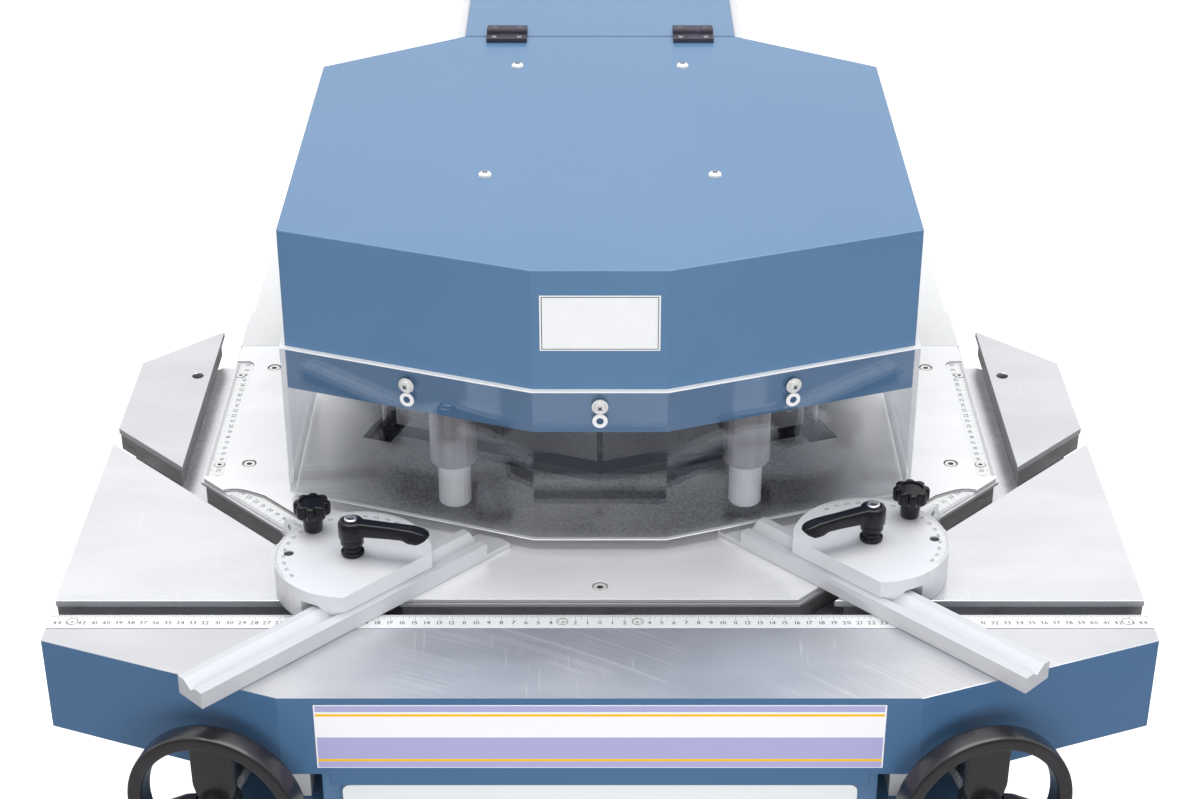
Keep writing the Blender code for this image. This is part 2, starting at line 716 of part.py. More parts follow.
def diagonal_rule_outline(gap):
    """Right-hand diagonal rule's pocket, or the rule itself with a gap all round."""
    _, _, offset = centre_corners(CENTRE_LIP)
    inner = offset - DIAGONAL_RULE_WIDTH * math.sqrt(2)
    outer = offset - gap * math.sqrt(2)
    inner += gap * math.sqrt(2)
    front = DIAGONAL_RULE_FRONT + gap * math.sqrt(2)
    back = (outer - inner) / 2
    rear = [(x - gap, y - gap * math.sqrt(2)) for x, y in diagonal_rule_end(outer, inner)]
    return front, outer, inner, back, rear


def make_centre_plate():
    front, side, offset = centre_corners(CENTRE_LIP)
    pocket_front, _, inner, back, rear_end = diagonal_rule_outline(0)
    wall = side - SIDE_RULE_WIDTH
    rounding = arc((wall + SIDE_RULE_ROUND, SIDE_RULE_REAR - SIDE_RULE_ROUND), SIDE_RULE_ROUND,
                   math.pi, math.pi / 2, 4)
    half = [(front + offset, front), (pocket_front + offset, pocket_front),
            (pocket_front + offset - back, pocket_front + back)]
    half += rear_end
    half += [(side, side - offset), (side, SIDE_RULE_FRONT), (wall, SIDE_RULE_FRONT)]
    half += rounding + [(side, SIDE_RULE_REAR), (side, CENTRE_REAR - SEAT)]
    depth = (LOWER_BLADE_THICKNESS + SEAT) / math.cos(BLADE_ANGLE)
    apex = VERTEX_Y - depth
    turn = BLADE_ANGLE - math.asin((LOWER_BLADE_THICKNESS + SEAT) / WELL_RADIUS)
    mouth = [(0, apex)] + arc((0, VERTEX_Y), WELL_RADIUS, turn, math.pi - turn, 24)
    places = [(0, CENTRE_SCREW_FRONT)]
    for way in SIDES:
        places += [(way * CENTRE_SCREW_X, CENTRE_SCREW_MIDDLE), (way * CENTRE_SCREW_X, CENTRE_SCREW_REAR)]
    holes = [arc(place, CENTRE_SCREW_RADIUS, 0, 2 * math.pi, 16)[:-1] for place in places]
    plate = flat("centre_plate", [both_sides(half), mouth] + holes, -CENTRE_SKIN, 0)
    as_part(plate, (STEEL, 0.28, 1.0))


def make_rules():
    length = TABLE_HALF_WIDTH - SEAT
    width = SLOT_NEAR - SEAT
    strip = box("front_rule", (-length, -width, -RULE_THICKNESS), (length, width, 0))
    as_part(strip, (LIGHT_GREY, 0.35, 0.6))
    _, side, _ = centre_corners(CENTRE_LIP)
    wall = side - SIDE_RULE_WIDTH + SEAT
    rear = SIDE_RULE_REAR - SEAT
    rounding = arc((wall + SIDE_RULE_ROUND, rear - SIDE_RULE_ROUND), SIDE_RULE_ROUND, math.pi / 2, math.pi, 4)
    side_outline = [(side, SIDE_RULE_FRONT + SEAT), (side, rear)] + rounding + [(wall, SIDE_RULE_FRONT + SEAT)]
    front, outer, inner, back, rear_end = diagonal_rule_outline(SEAT)
    diagonal_outline = [(front + outer, front)] + rear_end[::-1] + [(front + outer - back, front + back)]
    high = -CENTRE_SKIN + RULE_THICKNESS
    for way, word in SIDES.items():
        for name, outline in (("side_rule", side_outline), ("diagonal_rule", diagonal_outline)):
            rule = flat(word + "_" + name, [sided(outline, way)], -CENTRE_SKIN, high)
            as_part(rule, (LIGHT_GREY, 0.35, 0.6))


def make_table_bed():
    inner = inset(table_outline(SIDE_PLATE_REAR), BED_INSET)
    half = [inner[1], inner[2], (inner[2][0], SIDE_PLATE_REAR - BED_INSET),
            (SIDE_SLOT_OUTER, CENTRE_REAR - SEAT)]
    bed = flat("table_bed", [both_sides(half), well_outline()], BED_BOTTOM, BED_TOP)
    as_part(bed, (DARK_STEEL, 0.5, 0.6))
    top = BED_BOTTOM + OVERRUN + WHEEL_DEPTH
    for side, word in SIDES.items():
        axis = WHEEL_AXES[side]
        for name, reach in (("front", FRONT_BEARING_REACH), ("rear", REAR_BEARING_REACH)):
            bearing = box(word + "_" + name + "_bearing",
                          (-BEARING_HALF_WIDTH, reach - BEARING_LENGTH / 2, -BEARING_DROP),
                          (BEARING_HALF_WIDTH, reach + BEARING_LENGTH / 2, top))
            boolean(bed, as_tool(bearing, axis), "UNION")
        bore = cylinder(word + "_shaft_bore", SHAFT_RADIUS + SEAT, 0, SHAFT_REACH + OVERRUN, segments=20)
        bore.location = (0, (SHAFT_REACH + OVERRUN) / 2, 0)
        boolean(bed, as_tool(lay_along_y(bore), axis), "DIFFERENCE")


def make_blades():
    reach = BLADE_LENGTH
    low_back = BLADE_GAP + LOWER_BLADE_THICKNESS
    square = -math.pi / 2
    lower = [(BLADE_GAP * 2, -BLADE_GAP)] + arc((0, 0), low_back, square - BLADE_ANGLE + BLADE_CLEAR, square, 4)
    lower += [(reach, -low_back), (reach, -BLADE_GAP)]
    wedge = math.tan(UPPER_WEDGE)
    back = UPPER_BLADE_THICKNESS
    upper = [(UPPER_TIP, BLADE_GAP), (reach, BLADE_GAP), (reach, back), (back / wedge, back),
             (UPPER_TIP, UPPER_TIP * wedge)]
    for side, word in SIDES.items():
        blade = flat(word + "_lower_blade", [[(x, side * y) for x, y in lower]], -LOWER_BLADE_HEIGHT, 0)
        as_part(blade, (STEEL, 0.25, 1.0), VERTICES[side])
        blade = flat(word + "_upper_blade", [[(x, side * y) for x, y in upper]], UPPER_BLADE_REST,
                     UPPER_BLADE_REST + UPPER_BLADE_HEIGHT)
        as_part(blade, (STEEL, 0.25, 1.0), VERTICES[side])


def fan(radius, inner, start, end, steps=14):
    """A fan-shaped outline about the vertex between two radii."""
    return arc((0, 0), radius, start, end, steps) + arc((0, 0), inner, end, start, max(2, steps // 3))


def toothed_fan(radius, inner, start, teeth):
    """A fan-shaped outline about the vertex whose outer edge is a row of straight-sided gear teeth."""
    outline = []
    for i in range(teeth):
        middle = start + (i + 0.5) * TOOTH_PITCH
        for reach, share in ((radius - TOOTH_DEPTH, -TOOTH_ROOT_SHARE), (radius, -TOOTH_TIP_SHARE),
                             (radius, TOOTH_TIP_SHARE), (radius - TOOTH_DEPTH, TOOTH_ROOT_SHARE)):
            angle = middle + share * TOOTH_PITCH / 2
            outline.append((reach * math.cos(angle), reach * math.sin(angle)))
    return outline + arc((0, 0), inner, start + teeth * TOOTH_PITCH, start, 5)


def slant(obj, turn, middle):
    """Twists a solid about its upright axis, so that its teeth lie along the worm's thread."""
    for vertex in obj.data.vertices:
        angle = turn * (vertex.co.z - middle)
        x, y = vertex.co.x, vertex.co.y
        vertex.co.x = x * math.cos(angle) - y * math.sin(angle)
        vertex.co.y = x * math.sin(angle) + y * math.cos(angle)
    return obj


def make_sectors():
    face = LOWER_BLADE_THICKNESS + BLADE_GAP + SEAT
    blade_seat = -LOWER_BLADE_HEIGHT - SEAT
    skin = -CENTRE_SKIN - SEAT * 2
    lead = math.asin(face / SECTOR_RADIUS)
    upper = [(SECTOR_TIP * math.cos(SWING), -face)] + arc((0, 0), SECTOR_RADIUS, -lead, -SWING, 12)
    upper.append((SECTOR_TIP * math.cos(SWING), -SECTOR_TIP * math.sin(SWING)))
    root = SECTOR_TIP * math.cos(SWING) / 2
    under = [(root, -BLADE_GAP * 2), (SECTOR_RADIUS, -BLADE_GAP * 2), (SECTOR_RADIUS * math.cos(lead), -face - SEAT),
             (SECTOR_TIP * math.cos(SWING), -face - SEAT)]
    lug_radius = POST_RADIUS + POST_LUG_WALL
    lug = [(POST_X - lug_radius, -face), (SECTOR_RADIUS * math.cos(lead), -face),
           (SECTOR_RADIUS - MERGE, 0), (POST_X + POST_RADIUS, POST_Y)] + arc(
        (POST_X, POST_Y), lug_radius, math.radians(10), math.pi, 8)
    neck_turn = (ARC_LEAD - ARC_TAIL) / 2
    for side, word in SIDES.items():
        def mirror(points):
            return [(x, side * y) for x, y in points]

        parent = VERTICES[side]
        sector = flat(word + "_blade_sector", [mirror(upper)], SECTOR_MID, skin)
        as_part(sector, (DARK_STEEL, 0.4, 1.0), parent)
        wheel = toothed_fan(ARC_RADIUS, KNUCKLE_RADIUS + KNUCKLE_CLEAR, -ARC_TAIL, ARC_TEETH)
        wheel = flat(word + "_wheel_arc", [mirror(wheel)], SECTOR_BOTTOM, SECTOR_MID + SEAT)
        join(sector, flat(word + "_sector_root", [mirror(under)], SECTOR_MID, blade_seat),
             flat(word + "_sector_lug", [mirror(lug)], SECTOR_MID, blade_seat),
             slant(wheel, TOOTH_SLANT, -WHEEL_DEPTH))
        top = SECTOR_MID - SEAT * 2 if side < 0 else SECTOR_BOTTOM + HALF_KNUCKLE
        bottom = SECTOR_BOTTOM + HALF_KNUCKLE + SEAT if side < 0 else SECTOR_BOTTOM
        neck = fan(KNUCKLE_NECK_RADIUS, KNUCKLE_RADIUS - KNUCKLE_CLEAR * 4, neck_turn - KNUCKLE_NECK_HALF_ANGLE,
                   neck_turn + KNUCKLE_NECK_HALF_ANGLE, 6)
        join(sector, cylinder(word + "_knuckle", KNUCKLE_RADIUS, bottom, top, segments=24),
             flat(word + "_knuckle_neck", [mirror(neck)], bottom, top))
        cut(sector, cylinder(word + "_knuckle_bore", PIVOT_PIN_RADIUS + SEAT, SECTOR_BOTTOM - OVERRUN,
                             top + SEAT / 2),
            cylinder(word + "_post_socket", POST_RADIUS + SEAT, SECTOR_MID + OVERRUN, OVERRUN,
                     POST_X, side * POST_Y))
        post = cylinder(word + "_link_post", POST_RADIUS, SECTOR_MID + OVERRUN + SEAT, POST_TOP,
                        POST_X, side * POST_Y)
        as_part(post, (STEEL, 0.2, 1.0), parent)


def make_sector_pivot():
    base = SHOULDER_TOP + SEAT
    flange = base + PIVOT_FLANGE_THICKNESS
    top = SECTOR_MID - SEAT * 4
    pivot = turned("sector_pivot", [(0, top), (PIVOT_PIN_RADIUS, top), (PIVOT_PIN_RADIUS, flange),
                                    (PIVOT_FLANGE_RADIUS, flange), (PIVOT_FLANGE_RADIUS, base), (0, base)], 20)
    pivot.location = (0, VERTEX_Y, 0)
    as_part(pivot, (DARK_STEEL, 0.35, 1.0))


def make_upper_holders():
    wedge = math.tan(UPPER_WEDGE)
    front = UPPER_BLADE_THICKNESS + SEAT
    eye_radius = POST_RADIUS + SEAT + HOLDER_EYE_WALL
    reach = POST_X - POST_RADIUS
    body = [(HOLDER_START, front), (reach, front), (reach, POST_Y + POST_RADIUS), (BLADE_LENGTH, BLADE_LENGTH * wedge),
            (HOLDER_START, HOLDER_START * wedge)]
    arm = [(0, -HOLDER_ARM_FRONT), (HOLDER_ARM_LENGTH, -HOLDER_ARM_FRONT),
           (HOLDER_ARM_LENGTH, front + OVERRUN), (HOLDER_START, front + OVERRUN / 2),
           (HOLDER_RING_RADIUS, HOLDER_RING_RADIUS * wedge), (0, 0)]
    for side, word in SIDES.items():
        parent = VERTICES[side]
        holder = flat(word + "_upper_holder", [[(x, side * y) for x, y in body]], HOLDER_BOTTOM, HOLDER_TOP)
        as_part(holder, (DARK_STEEL, 0.4, 1.0), parent)
        bottom = HOLDER_RING_BOTTOM if side < 0 else HOLDER_TOP - HALF_RING
        top = bottom + HALF_RING
        join(holder, flat(word + "_holder_arm", [[(x, side * y) for x, y in arm]], bottom, top),
             cylinder(word + "_holder_ring", HOLDER_RING_RADIUS, bottom, top, segments=24),
             cylinder(word + "_holder_eye", eye_radius, HOLDER_BOTTOM, HOLDER_TOP, POST_X, side * POST_Y))
        cut(holder, cylinder(word + "_holder_bore", HOLDER_PIN_RADIUS + SEAT, HOLDER_BOTTOM, HOLDER_TOP + OVERRUN),
            cylinder(word + "_eye_bore", POST_RADIUS + SEAT, HOLDER_BOTTOM - OVERRUN, HOLDER_TOP + OVERRUN,
                     POST_X, side * POST_Y))


def make_ram():
    plate = flat("ram", [rounded_rectangle(RAM_PLATE_HALF_WIDTH, RAM_PLATE_FRONT, RAM_PLATE_REAR, RAM_PLATE_ROUND)],
                 RAM_PLATE_BOTTOM, RAM_PLATE_TOP)
    as_part(plate, (STEEL, 0.3, 1.0))
    head_top = HOLDER_RING_BOTTOM - SEAT * 6
    pin = turned("holder_pin", [(0, RAM_PLATE_BOTTOM + OVERRUN), (HOLDER_PIN_RADIUS, RAM_PLATE_BOTTOM + OVERRUN),
                                (HOLDER_PIN_RADIUS, head_top), (HOLDER_PIN_HEAD_RADIUS, head_top),
                                (HOLDER_PIN_HEAD_RADIUS, HOLDER_PIN_HEAD_BOTTOM), (0, HOLDER_PIN_HEAD_BOTTOM)], 20)
    pin.location = (0, VERTEX_Y, 0)
    join(plate, cylinder("ram_rod", RAM_ROD_RADIUS, RAM_PLATE_TOP - OVERRUN, RAM_ROD_TOP, 0, RAM_Y, 24), pin)


def make_cylinder_barrel():
    flange_top = HEAD_BOTTOM - SEAT
    flange_bottom = flange_top - BARREL_FLANGE_THICKNESS
    bore = RAM_ROD_RADIUS + SEAT
    roof = BARREL_TOP - BARREL_CAP
    barrel = turned("cylinder_barrel", [(0, BARREL_TOP), (BARREL_RADIUS - OVERRUN, BARREL_TOP),
                                        (BARREL_RADIUS, BARREL_TOP - OVERRUN), (BARREL_RADIUS, flange_top),
                                        (BARREL_FLANGE_RADIUS, flange_top), (BARREL_FLANGE_RADIUS, flange_bottom),
                                        (bore, flange_bottom), (bore, roof), (0, roof)], 28)
    barrel.location = (0, RAM_Y, 0)
    as_part(barrel, (DARK_STEEL, 0.35, 1.0))


def make_c_frame():
    """Two throat plates joined by the head, the nose plate, the foot plate and the back plate."""
    corner = (COLUMN_FRONT - THROAT_ROUND, ARM_BOTTOM - THROAT_ROUND)
    profile = [(ARM_FRONT, ARM_BOTTOM)] + arc(corner, THROAT_ROUND, math.pi / 2, 0, 6)
    profile += [(COLUMN_FRONT, SEAT), (COLUMN_REAR, SEAT), (COLUMN_REAR, ARM_TOP), (ARM_FRONT, ARM_TOP)]
    frame = flat("c_frame", [profile], ARM_INNER, ARM_OUTER)
    frame.rotation_euler = (math.pi / 2, 0, math.pi / 2)
    as_part(frame, (LIGHT_GREY, 0.4, 0.0))
    mate = flat("left_throat_plate", [profile], -ARM_OUTER, -ARM_INNER)
    mate.rotation_euler = frame.rotation_euler
    slope = (HOOD_SHOULDER_Y - HOOD_FRONT) / (HOOD_HALF_WIDTH - HOOD_FRONT_HALF)
    nose_front = HOOD_FRONT + APRON_WALL
    nose_half = HOOD_FRONT_HALF
    nose_shoulder = nose_front + (NOSE_HALF_WIDTH - nose_half) * slope
    nose = both_sides([(nose_half, nose_front), (NOSE_HALF_WIDTH, nose_shoulder),
                       (NOSE_HALF_WIDTH, HEAD_FRONT), (ARM_INNER, HEAD_FRONT + BARREL_FLANGE_THICKNESS)])
    inside = ARM_INNER + OVERRUN
    join(frame, mate, flat("nose_plate", [nose], HEAD_BOTTOM, NOSE_TOP),
         box("head_block", (-inside, HEAD_FRONT, HEAD_BOTTOM), (inside, HEAD_REAR, HEAD_TOP)),
         box("foot_plate", (-CHEEK_OUTER, COLUMN_FRONT, SEAT), (CHEEK_OUTER, COLUMN_REAR, FOOT_PLATE)),
         box("back_plate", (-inside, BACK_PLATE_FRONT, FOOT_PLATE - OVERRUN),
             (inside, BACK_PLATE_FRONT + BACK_PLATE_THICKNESS, ARM_TOP)))
    for side, word in SIDES.items():
        inner, outer = sorted((side * CHEEK_INNER, side * CHEEK_OUTER))
        join(frame, box(word + "_cheek", (inner, CHEEK_FRONT, FOOT_PLATE - OVERRUN), (outer, COLUMN_REAR, CHEEK_TOP)))
        cut(frame, cylinder(word + "_hold_down_bore", HOLD_BARREL_RADIUS + SEAT, HEAD_BOTTOM - OVERRUN,
                            NOSE_TOP + OVERRUN, side * HOLD_DOWN_X, HOLD_DOWN_Y, 20))
    cut(frame, cylinder("barrel_bore", BARREL_RADIUS + SEAT, HEAD_BOTTOM - OVERRUN, HEAD_TOP + OVERRUN, 0, RAM_Y, 36),
        cylinder("foot_pipe_hole", PIPE_RADIUS + PIPE_HOLE_CLEAR, -OVERRUN, FOOT_PLATE + OVERRUN, PIPE_X, PIPE_Y, 16))


def make_hold_downs():
    for side, word in SIDES.items():
        place = (side * HOLD_DOWN_X, HOLD_DOWN_Y, 0)
        shaft = HOLD_DOWN_STEM_RADIUS
        bore = shaft + SEAT
        barrel = turned(word + "_hold_down_barrel", [
            (0, HOLD_BARREL_TOP), (HOLD_BARREL_RADIUS, HOLD_BARREL_TOP),
            (HOLD_BARREL_RADIUS, HEAD_BOTTOM - SEAT), (HOLD_BARREL_COLLAR_RADIUS, HEAD_BOTTOM - SEAT),
            (HOLD_BARREL_COLLAR_RADIUS, HOLD_BARREL_COLLAR_BOTTOM), (HOLD_BARREL_RADIUS, HOLD_BARREL_COLLAR_BOTTOM),
            (HOLD_BARREL_RADIUS, HOLD_BARREL_BOTTOM), (bore, HOLD_BARREL_BOTTOM),
            (bore, HOLD_DOWN_STEM_TOP + OVERRUN), (0, HOLD_DOWN_STEM_TOP + OVERRUN)], 20)
        barrel.location = place
        as_part(barrel, (DARK_STEEL, 0.4, 1.0))
        edge = HOLD_DOWN_EDGE
        radius = HOLD_DOWN_RADIUS
        plunger = turned(word + "_hold_down", [
            (0, HOLD_DOWN_STEM_TOP), (shaft, HOLD_DOWN_STEM_TOP), (shaft, HOLD_DOWN_HEAD_TOP),
            (radius - edge, HOLD_DOWN_HEAD_TOP), (radius, HOLD_DOWN_HEAD_TOP - edge),
            (radius, HOLD_DOWN_REST + edge), (radius - edge, HOLD_DOWN_REST), (0, HOLD_DOWN_REST)], 20)
        plunger.location = place
        as_part(plunger, (ALUMINIUM, 0.3, 1.0))


def hood_outline():
    return [(-HOOD_FRONT_HALF, HOOD_FRONT), (HOOD_FRONT_HALF, HOOD_FRONT), (HOOD_HALF_WIDTH, HOOD_SHOULDER_Y),
            (HOOD_HALF_WIDTH, HOOD_SIDE_REAR), (HOOD_REAR_HALF, HOOD_REAR), (-HOOD_REAR_HALF, HOOD_REAR),
            (-HOOD_HALF_WIDTH, HOOD_SIDE_REAR), (-HOOD_HALF_WIDTH, HOOD_SHOULDER_Y)]


def make_hood():
    hood = as_part(flat("hood", [hood_outline()], HOOD_BOTTOM, HOOD_TOP), (BLUE, 0.35, 0.0), HOOD_HINGE)
    lower_to_hinge(hood)
    hollow = flat("hood_hollow", [inset(hood_outline(), HOOD_SHEET)], HOOD_BOTTOM - OVERRUN, HOOD_TOP - HOOD_SHEET)
    window = HOOD_REAR_HALF - HOOD_REAR_LIP
    doorway = box("hood_rear_window", (-window, HOOD_SIDE_REAR, HOOD_BOTTOM - OVERRUN),
                  (window, HOOD_REAR + OVERRUN, HOOD_TOP - HOOD_SHEET))
    for tool in (hollow, doorway):
        lower_to_hinge(tool)
        cut(hood, tool)


def lower_to_hinge(obj):
    """Shifts an object that was drawn from the table datum to hang from the hood's hinge line."""
    obj.location.y -= HOOD_REAR
    obj.location.z -= HINGE_AXIS_HEIGHT


def make_guard():
    front = hood_outline()[:3]
    path = [(HOOD_HALF_WIDTH, GUARD_REAR)] + front[::-1] + [(-HOOD_HALF_WIDTH, HOOD_SHOULDER_Y),
                                                            (-HOOD_HALF_WIDTH, GUARD_REAR)]
    run = path[::-1]
    closed = inset(run, -GUARD_INNER)
    outside = inset(run, -GUARD_INNER - GUARD_SHEET)
    closed[0] = (closed[0][0], GUARD_REAR)
    closed[-1] = (closed[-1][0], GUARD_REAR)
    outside[0] = (outside[0][0], GUARD_REAR)
    outside[-1] = (outside[-1][0], GUARD_REAR)
    closed[0] = (-HOOD_HALF_WIDTH - GUARD_INNER, GUARD_REAR)
    closed[-1] = (HOOD_HALF_WIDTH + GUARD_INNER, GUARD_REAR)
    outside[0] = (-HOOD_HALF_WIDTH - GUARD_INNER - GUARD_SHEET, GUARD_REAR)
    outside[-1] = (HOOD_HALF_WIDTH + GUARD_INNER + GUARD_SHEET, GUARD_REAR)
    guard = flat("guard", [outside + closed[::-1]], GUARD_BOTTOM, GUARD_TOP)
    as_part(guard, (CLEAR, 0.05, 0.0, 0.35), HOOD_HINGE)
    lower_to_hinge(guard)


def make_rear_cover():
    bottom = FOOT_PLATE + SEAT
    half = HOOD_REAR_HALF
    rear = REAR_REACH
    cover = box("rear_cover", (-half, COVER_FRONT, bottom), (half, rear, HOOD_TOP))
    as_part(cover, (BLUE, 0.35, 0.0))
    inner = half - HOOD_SHEET
    cut(cover, box("cover_hollow", (-inner, COVER_FRONT - OVERRUN, bottom - OVERRUN),
                   (inner, rear - HOOD_SHEET, HOOD_TOP - HOOD_SHEET)))


def hinge_leaf(name, side, moving):
    """One leaf with its share of the knuckle; the fixed leaf also carries the pin."""
    middle = side * HINGE_X
    half = HINGE_LENGTH / 2
    low = HOOD_TOP + SEAT
    way = -1 if moving else 1
    inner = HOOD_REAR + way * HINGE_KNUCKLE_GAP
    outer = HOOD_REAR + way * HINGE_LEAF
    front, rear = sorted((inner, outer))
    leaf = box(name, (middle - half, front, low), (middle + half, rear, low + HINGE_THICKNESS))
    middle_half = half * HINGE_MIDDLE_SHARE
    reach = HINGE_KNUCKLE_RADIUS + OVERRUN / 2
    gap = HINGE_KNUCKLE_GAP
    if moving:
        bands = [(-middle_half + gap, middle_half - gap)]
        clear = [(-half - OVERRUN, -middle_half), (middle_half, half + OVERRUN)]
    else:
        bands = [(-half, -middle_half), (middle_half, half)]
        clear = [(-middle_half, middle_half)]
    return leaf, bands, clear, middle, reach


def along_x(name, radius, start, end, y, z, segments=16):
    rod = cylinder(name, radius, 0, end - start, segments=segments)
    rod.rotation_euler = (0, math.pi / 2, 0)
    rod.location = ((start + end) / 2, y, z)
    return rod


def make_hinges():
    axis = HINGE_AXIS_HEIGHT
    for side, word in SIDES.items():
        for moving, kind in ((False, "fixed"), (True, "moving")):
            name = word + "_hinge_" + kind
            leaf, bands, clear, middle, reach = hinge_leaf(name, side, moving)
            parent = HOOD_HINGE if moving else DATUM
            tools = [along_x(name + "_knuckle", HINGE_KNUCKLE_RADIUS, middle + a, middle + b, HOOD_REAR, axis)
                     for a, b in bands]
            gaps = [box(name + "_gap", (middle + a, HOOD_REAR - reach, HOOD_TOP),
                        (middle + b, HOOD_REAR + reach, axis + reach)) for a, b in clear]
            pin_start, pin_end = middle - HINGE_LENGTH / 2 + OVERRUN, middle + HINGE_LENGTH / 2 - OVERRUN
            if moving:
                for obj in [leaf] + tools + gaps:
                    lower_to_hinge(obj)
                as_part(leaf, (BLACK, 0.4, 0.0), parent)
                join(leaf, *tools)
                bore = along_x(name + "_bore", HINGE_PIN_RADIUS + SEAT, pin_start, pin_end, HOOD_REAR, axis, 12)
                lower_to_hinge(bore)
                cut(leaf, *gaps, bore)
            else:
                as_part(leaf, (BLACK, 0.4, 0.0), parent)
                join(leaf, *tools)
                cut(leaf, *gaps)
                join(leaf, along_x(name + "_pin", HINGE_PIN_RADIUS, pin_start, pin_end, HOOD_REAR, axis, 12))


def make_rear_deck():
    front = CENTRE_REAR + SEAT
    half = [(DECK_HALF_WIDTH, front), (DECK_HALF_WIDTH, DECK_STEP_Y), (DECK_REAR_HALF_WIDTH, DECK_STEP_Y + OVERRUN),
            (DECK_REAR_HALF_WIDTH, REAR_REACH)]
    deck = flat("rear_deck", [both_sides(half)], SHOULDER_TOP + SEAT, 0)
    as_part(deck, (LIGHT_GREY, 0.4, 0.0))
    inner = DECK_REAR_HALF_WIDTH - DECK_WALL
    cut(deck, box("deck_hollow", (-inner, front + DECK_WALL, SHOULDER_TOP - OVERRUN),
                  (inner, REAR_REACH - DECK_WALL, -DECK_WALL)),
        cylinder("deck_pipe_hole", PIPE_RADIUS + PIPE_HOLE_CLEAR, -DECK_WALL - OVERRUN, OVERRUN, PIPE_X, PIPE_Y, 16))


def make_cabinet():
    wide = CABINET_HALF_WIDTH
    wall = CABINET_WALL
    front = CABINET_FRONT
    cabinet = box("cabinet", (-wide, front, FLOOR), (wide, REAR_REACH, SHOULDER_TOP))
    as_part(cabinet, (BLUE, 0.35, 0.0))
    riser_top = BED_BOTTOM - SEAT
    join(cabinet, box("riser", (-RISER_HALF_WIDTH, front, SHOULDER_TOP - wall),
                      (RISER_HALF_WIDTH, front + RISER_THICKNESS, riser_top)))
    way = DOOR_HALF_WIDTH - DOORWAY_MARGIN
    cut(cabinet, box("cabinet_hollow", (-wide + wall, front + wall, FLOOR + wall),
                     (wide - wall, REAR_REACH - wall, SHOULDER_TOP - wall)),
        box("doorway", (-way, front - OVERRUN, FLOOR + DOOR_BOTTOM_HEIGHT + DOORWAY_MARGIN),
            (way, front + wall + OVERRUN, SHOULDER_TOP - wall - DOORWAY_MARGIN)),
        box("scrap_opening", (-SCRAP_HALF_WIDTH, SCRAP_FRONT, SHOULDER_TOP - wall - OVERRUN),
            (SCRAP_HALF_WIDTH, SCRAP_REAR, SHOULDER_TOP + OVERRUN)),
        cylinder("cabinet_pipe_hole", PIPE_RADIUS + PIPE_HOLE_CLEAR, SHOULDER_TOP - wall - OVERRUN,
                 SHOULDER_TOP + OVERRUN, PIPE_X, PIPE_Y, 16))


def make_door():
    """A shallow tray of folded sheet, open towards the cabinet, hung on its left rear edge."""
    low = FLOOR + DOOR_BOTTOM_HEIGHT
    middle = (low + DOOR_TOP) / 2
    half_height = (DOOR_TOP - low) / 2
    outline = rounded_rectangle(DOOR_HALF_WIDTH, -half_height, half_height, DOOR_ROUND)
    inner = rounded_rectangle(DOOR_HALF_WIDTH - DOOR_WALL, DOOR_WALL - half_height, half_height - DOOR_WALL,
                              DOOR_ROUND - DOOR_WALL)
    door = flat("front_door", [outline], 0, DOOR_THICKNESS)
    hollow = flat("door_hollow", [inner], -OVERRUN, DOOR_THICKNESS - DOOR_WALL)
    for obj in (door, hollow):
        lay_along_y(obj)
        obj.location = (DOOR_HALF_WIDTH, 0, middle)
    as_part(door, (LIGHT_GREY, 0.3, 0.0), DOOR_HINGE)
    cut(door, hollow)


def make_gussets():
    for side, word in SIDES.items():
        inner, outer = sorted((side * GUSSET_INNER, side * (GUSSET_INNER + GUSSET_THICKNESS)))
        plate = box(word + "_gusset", (inner, GUSSET_FRONT, SHOULDER_TOP + SEAT),
                    (outer, GUSSET_REAR, BED_BOTTOM - SEAT))
        as_part(plate, (LIGHT_GREY, 0.4, 0.0))


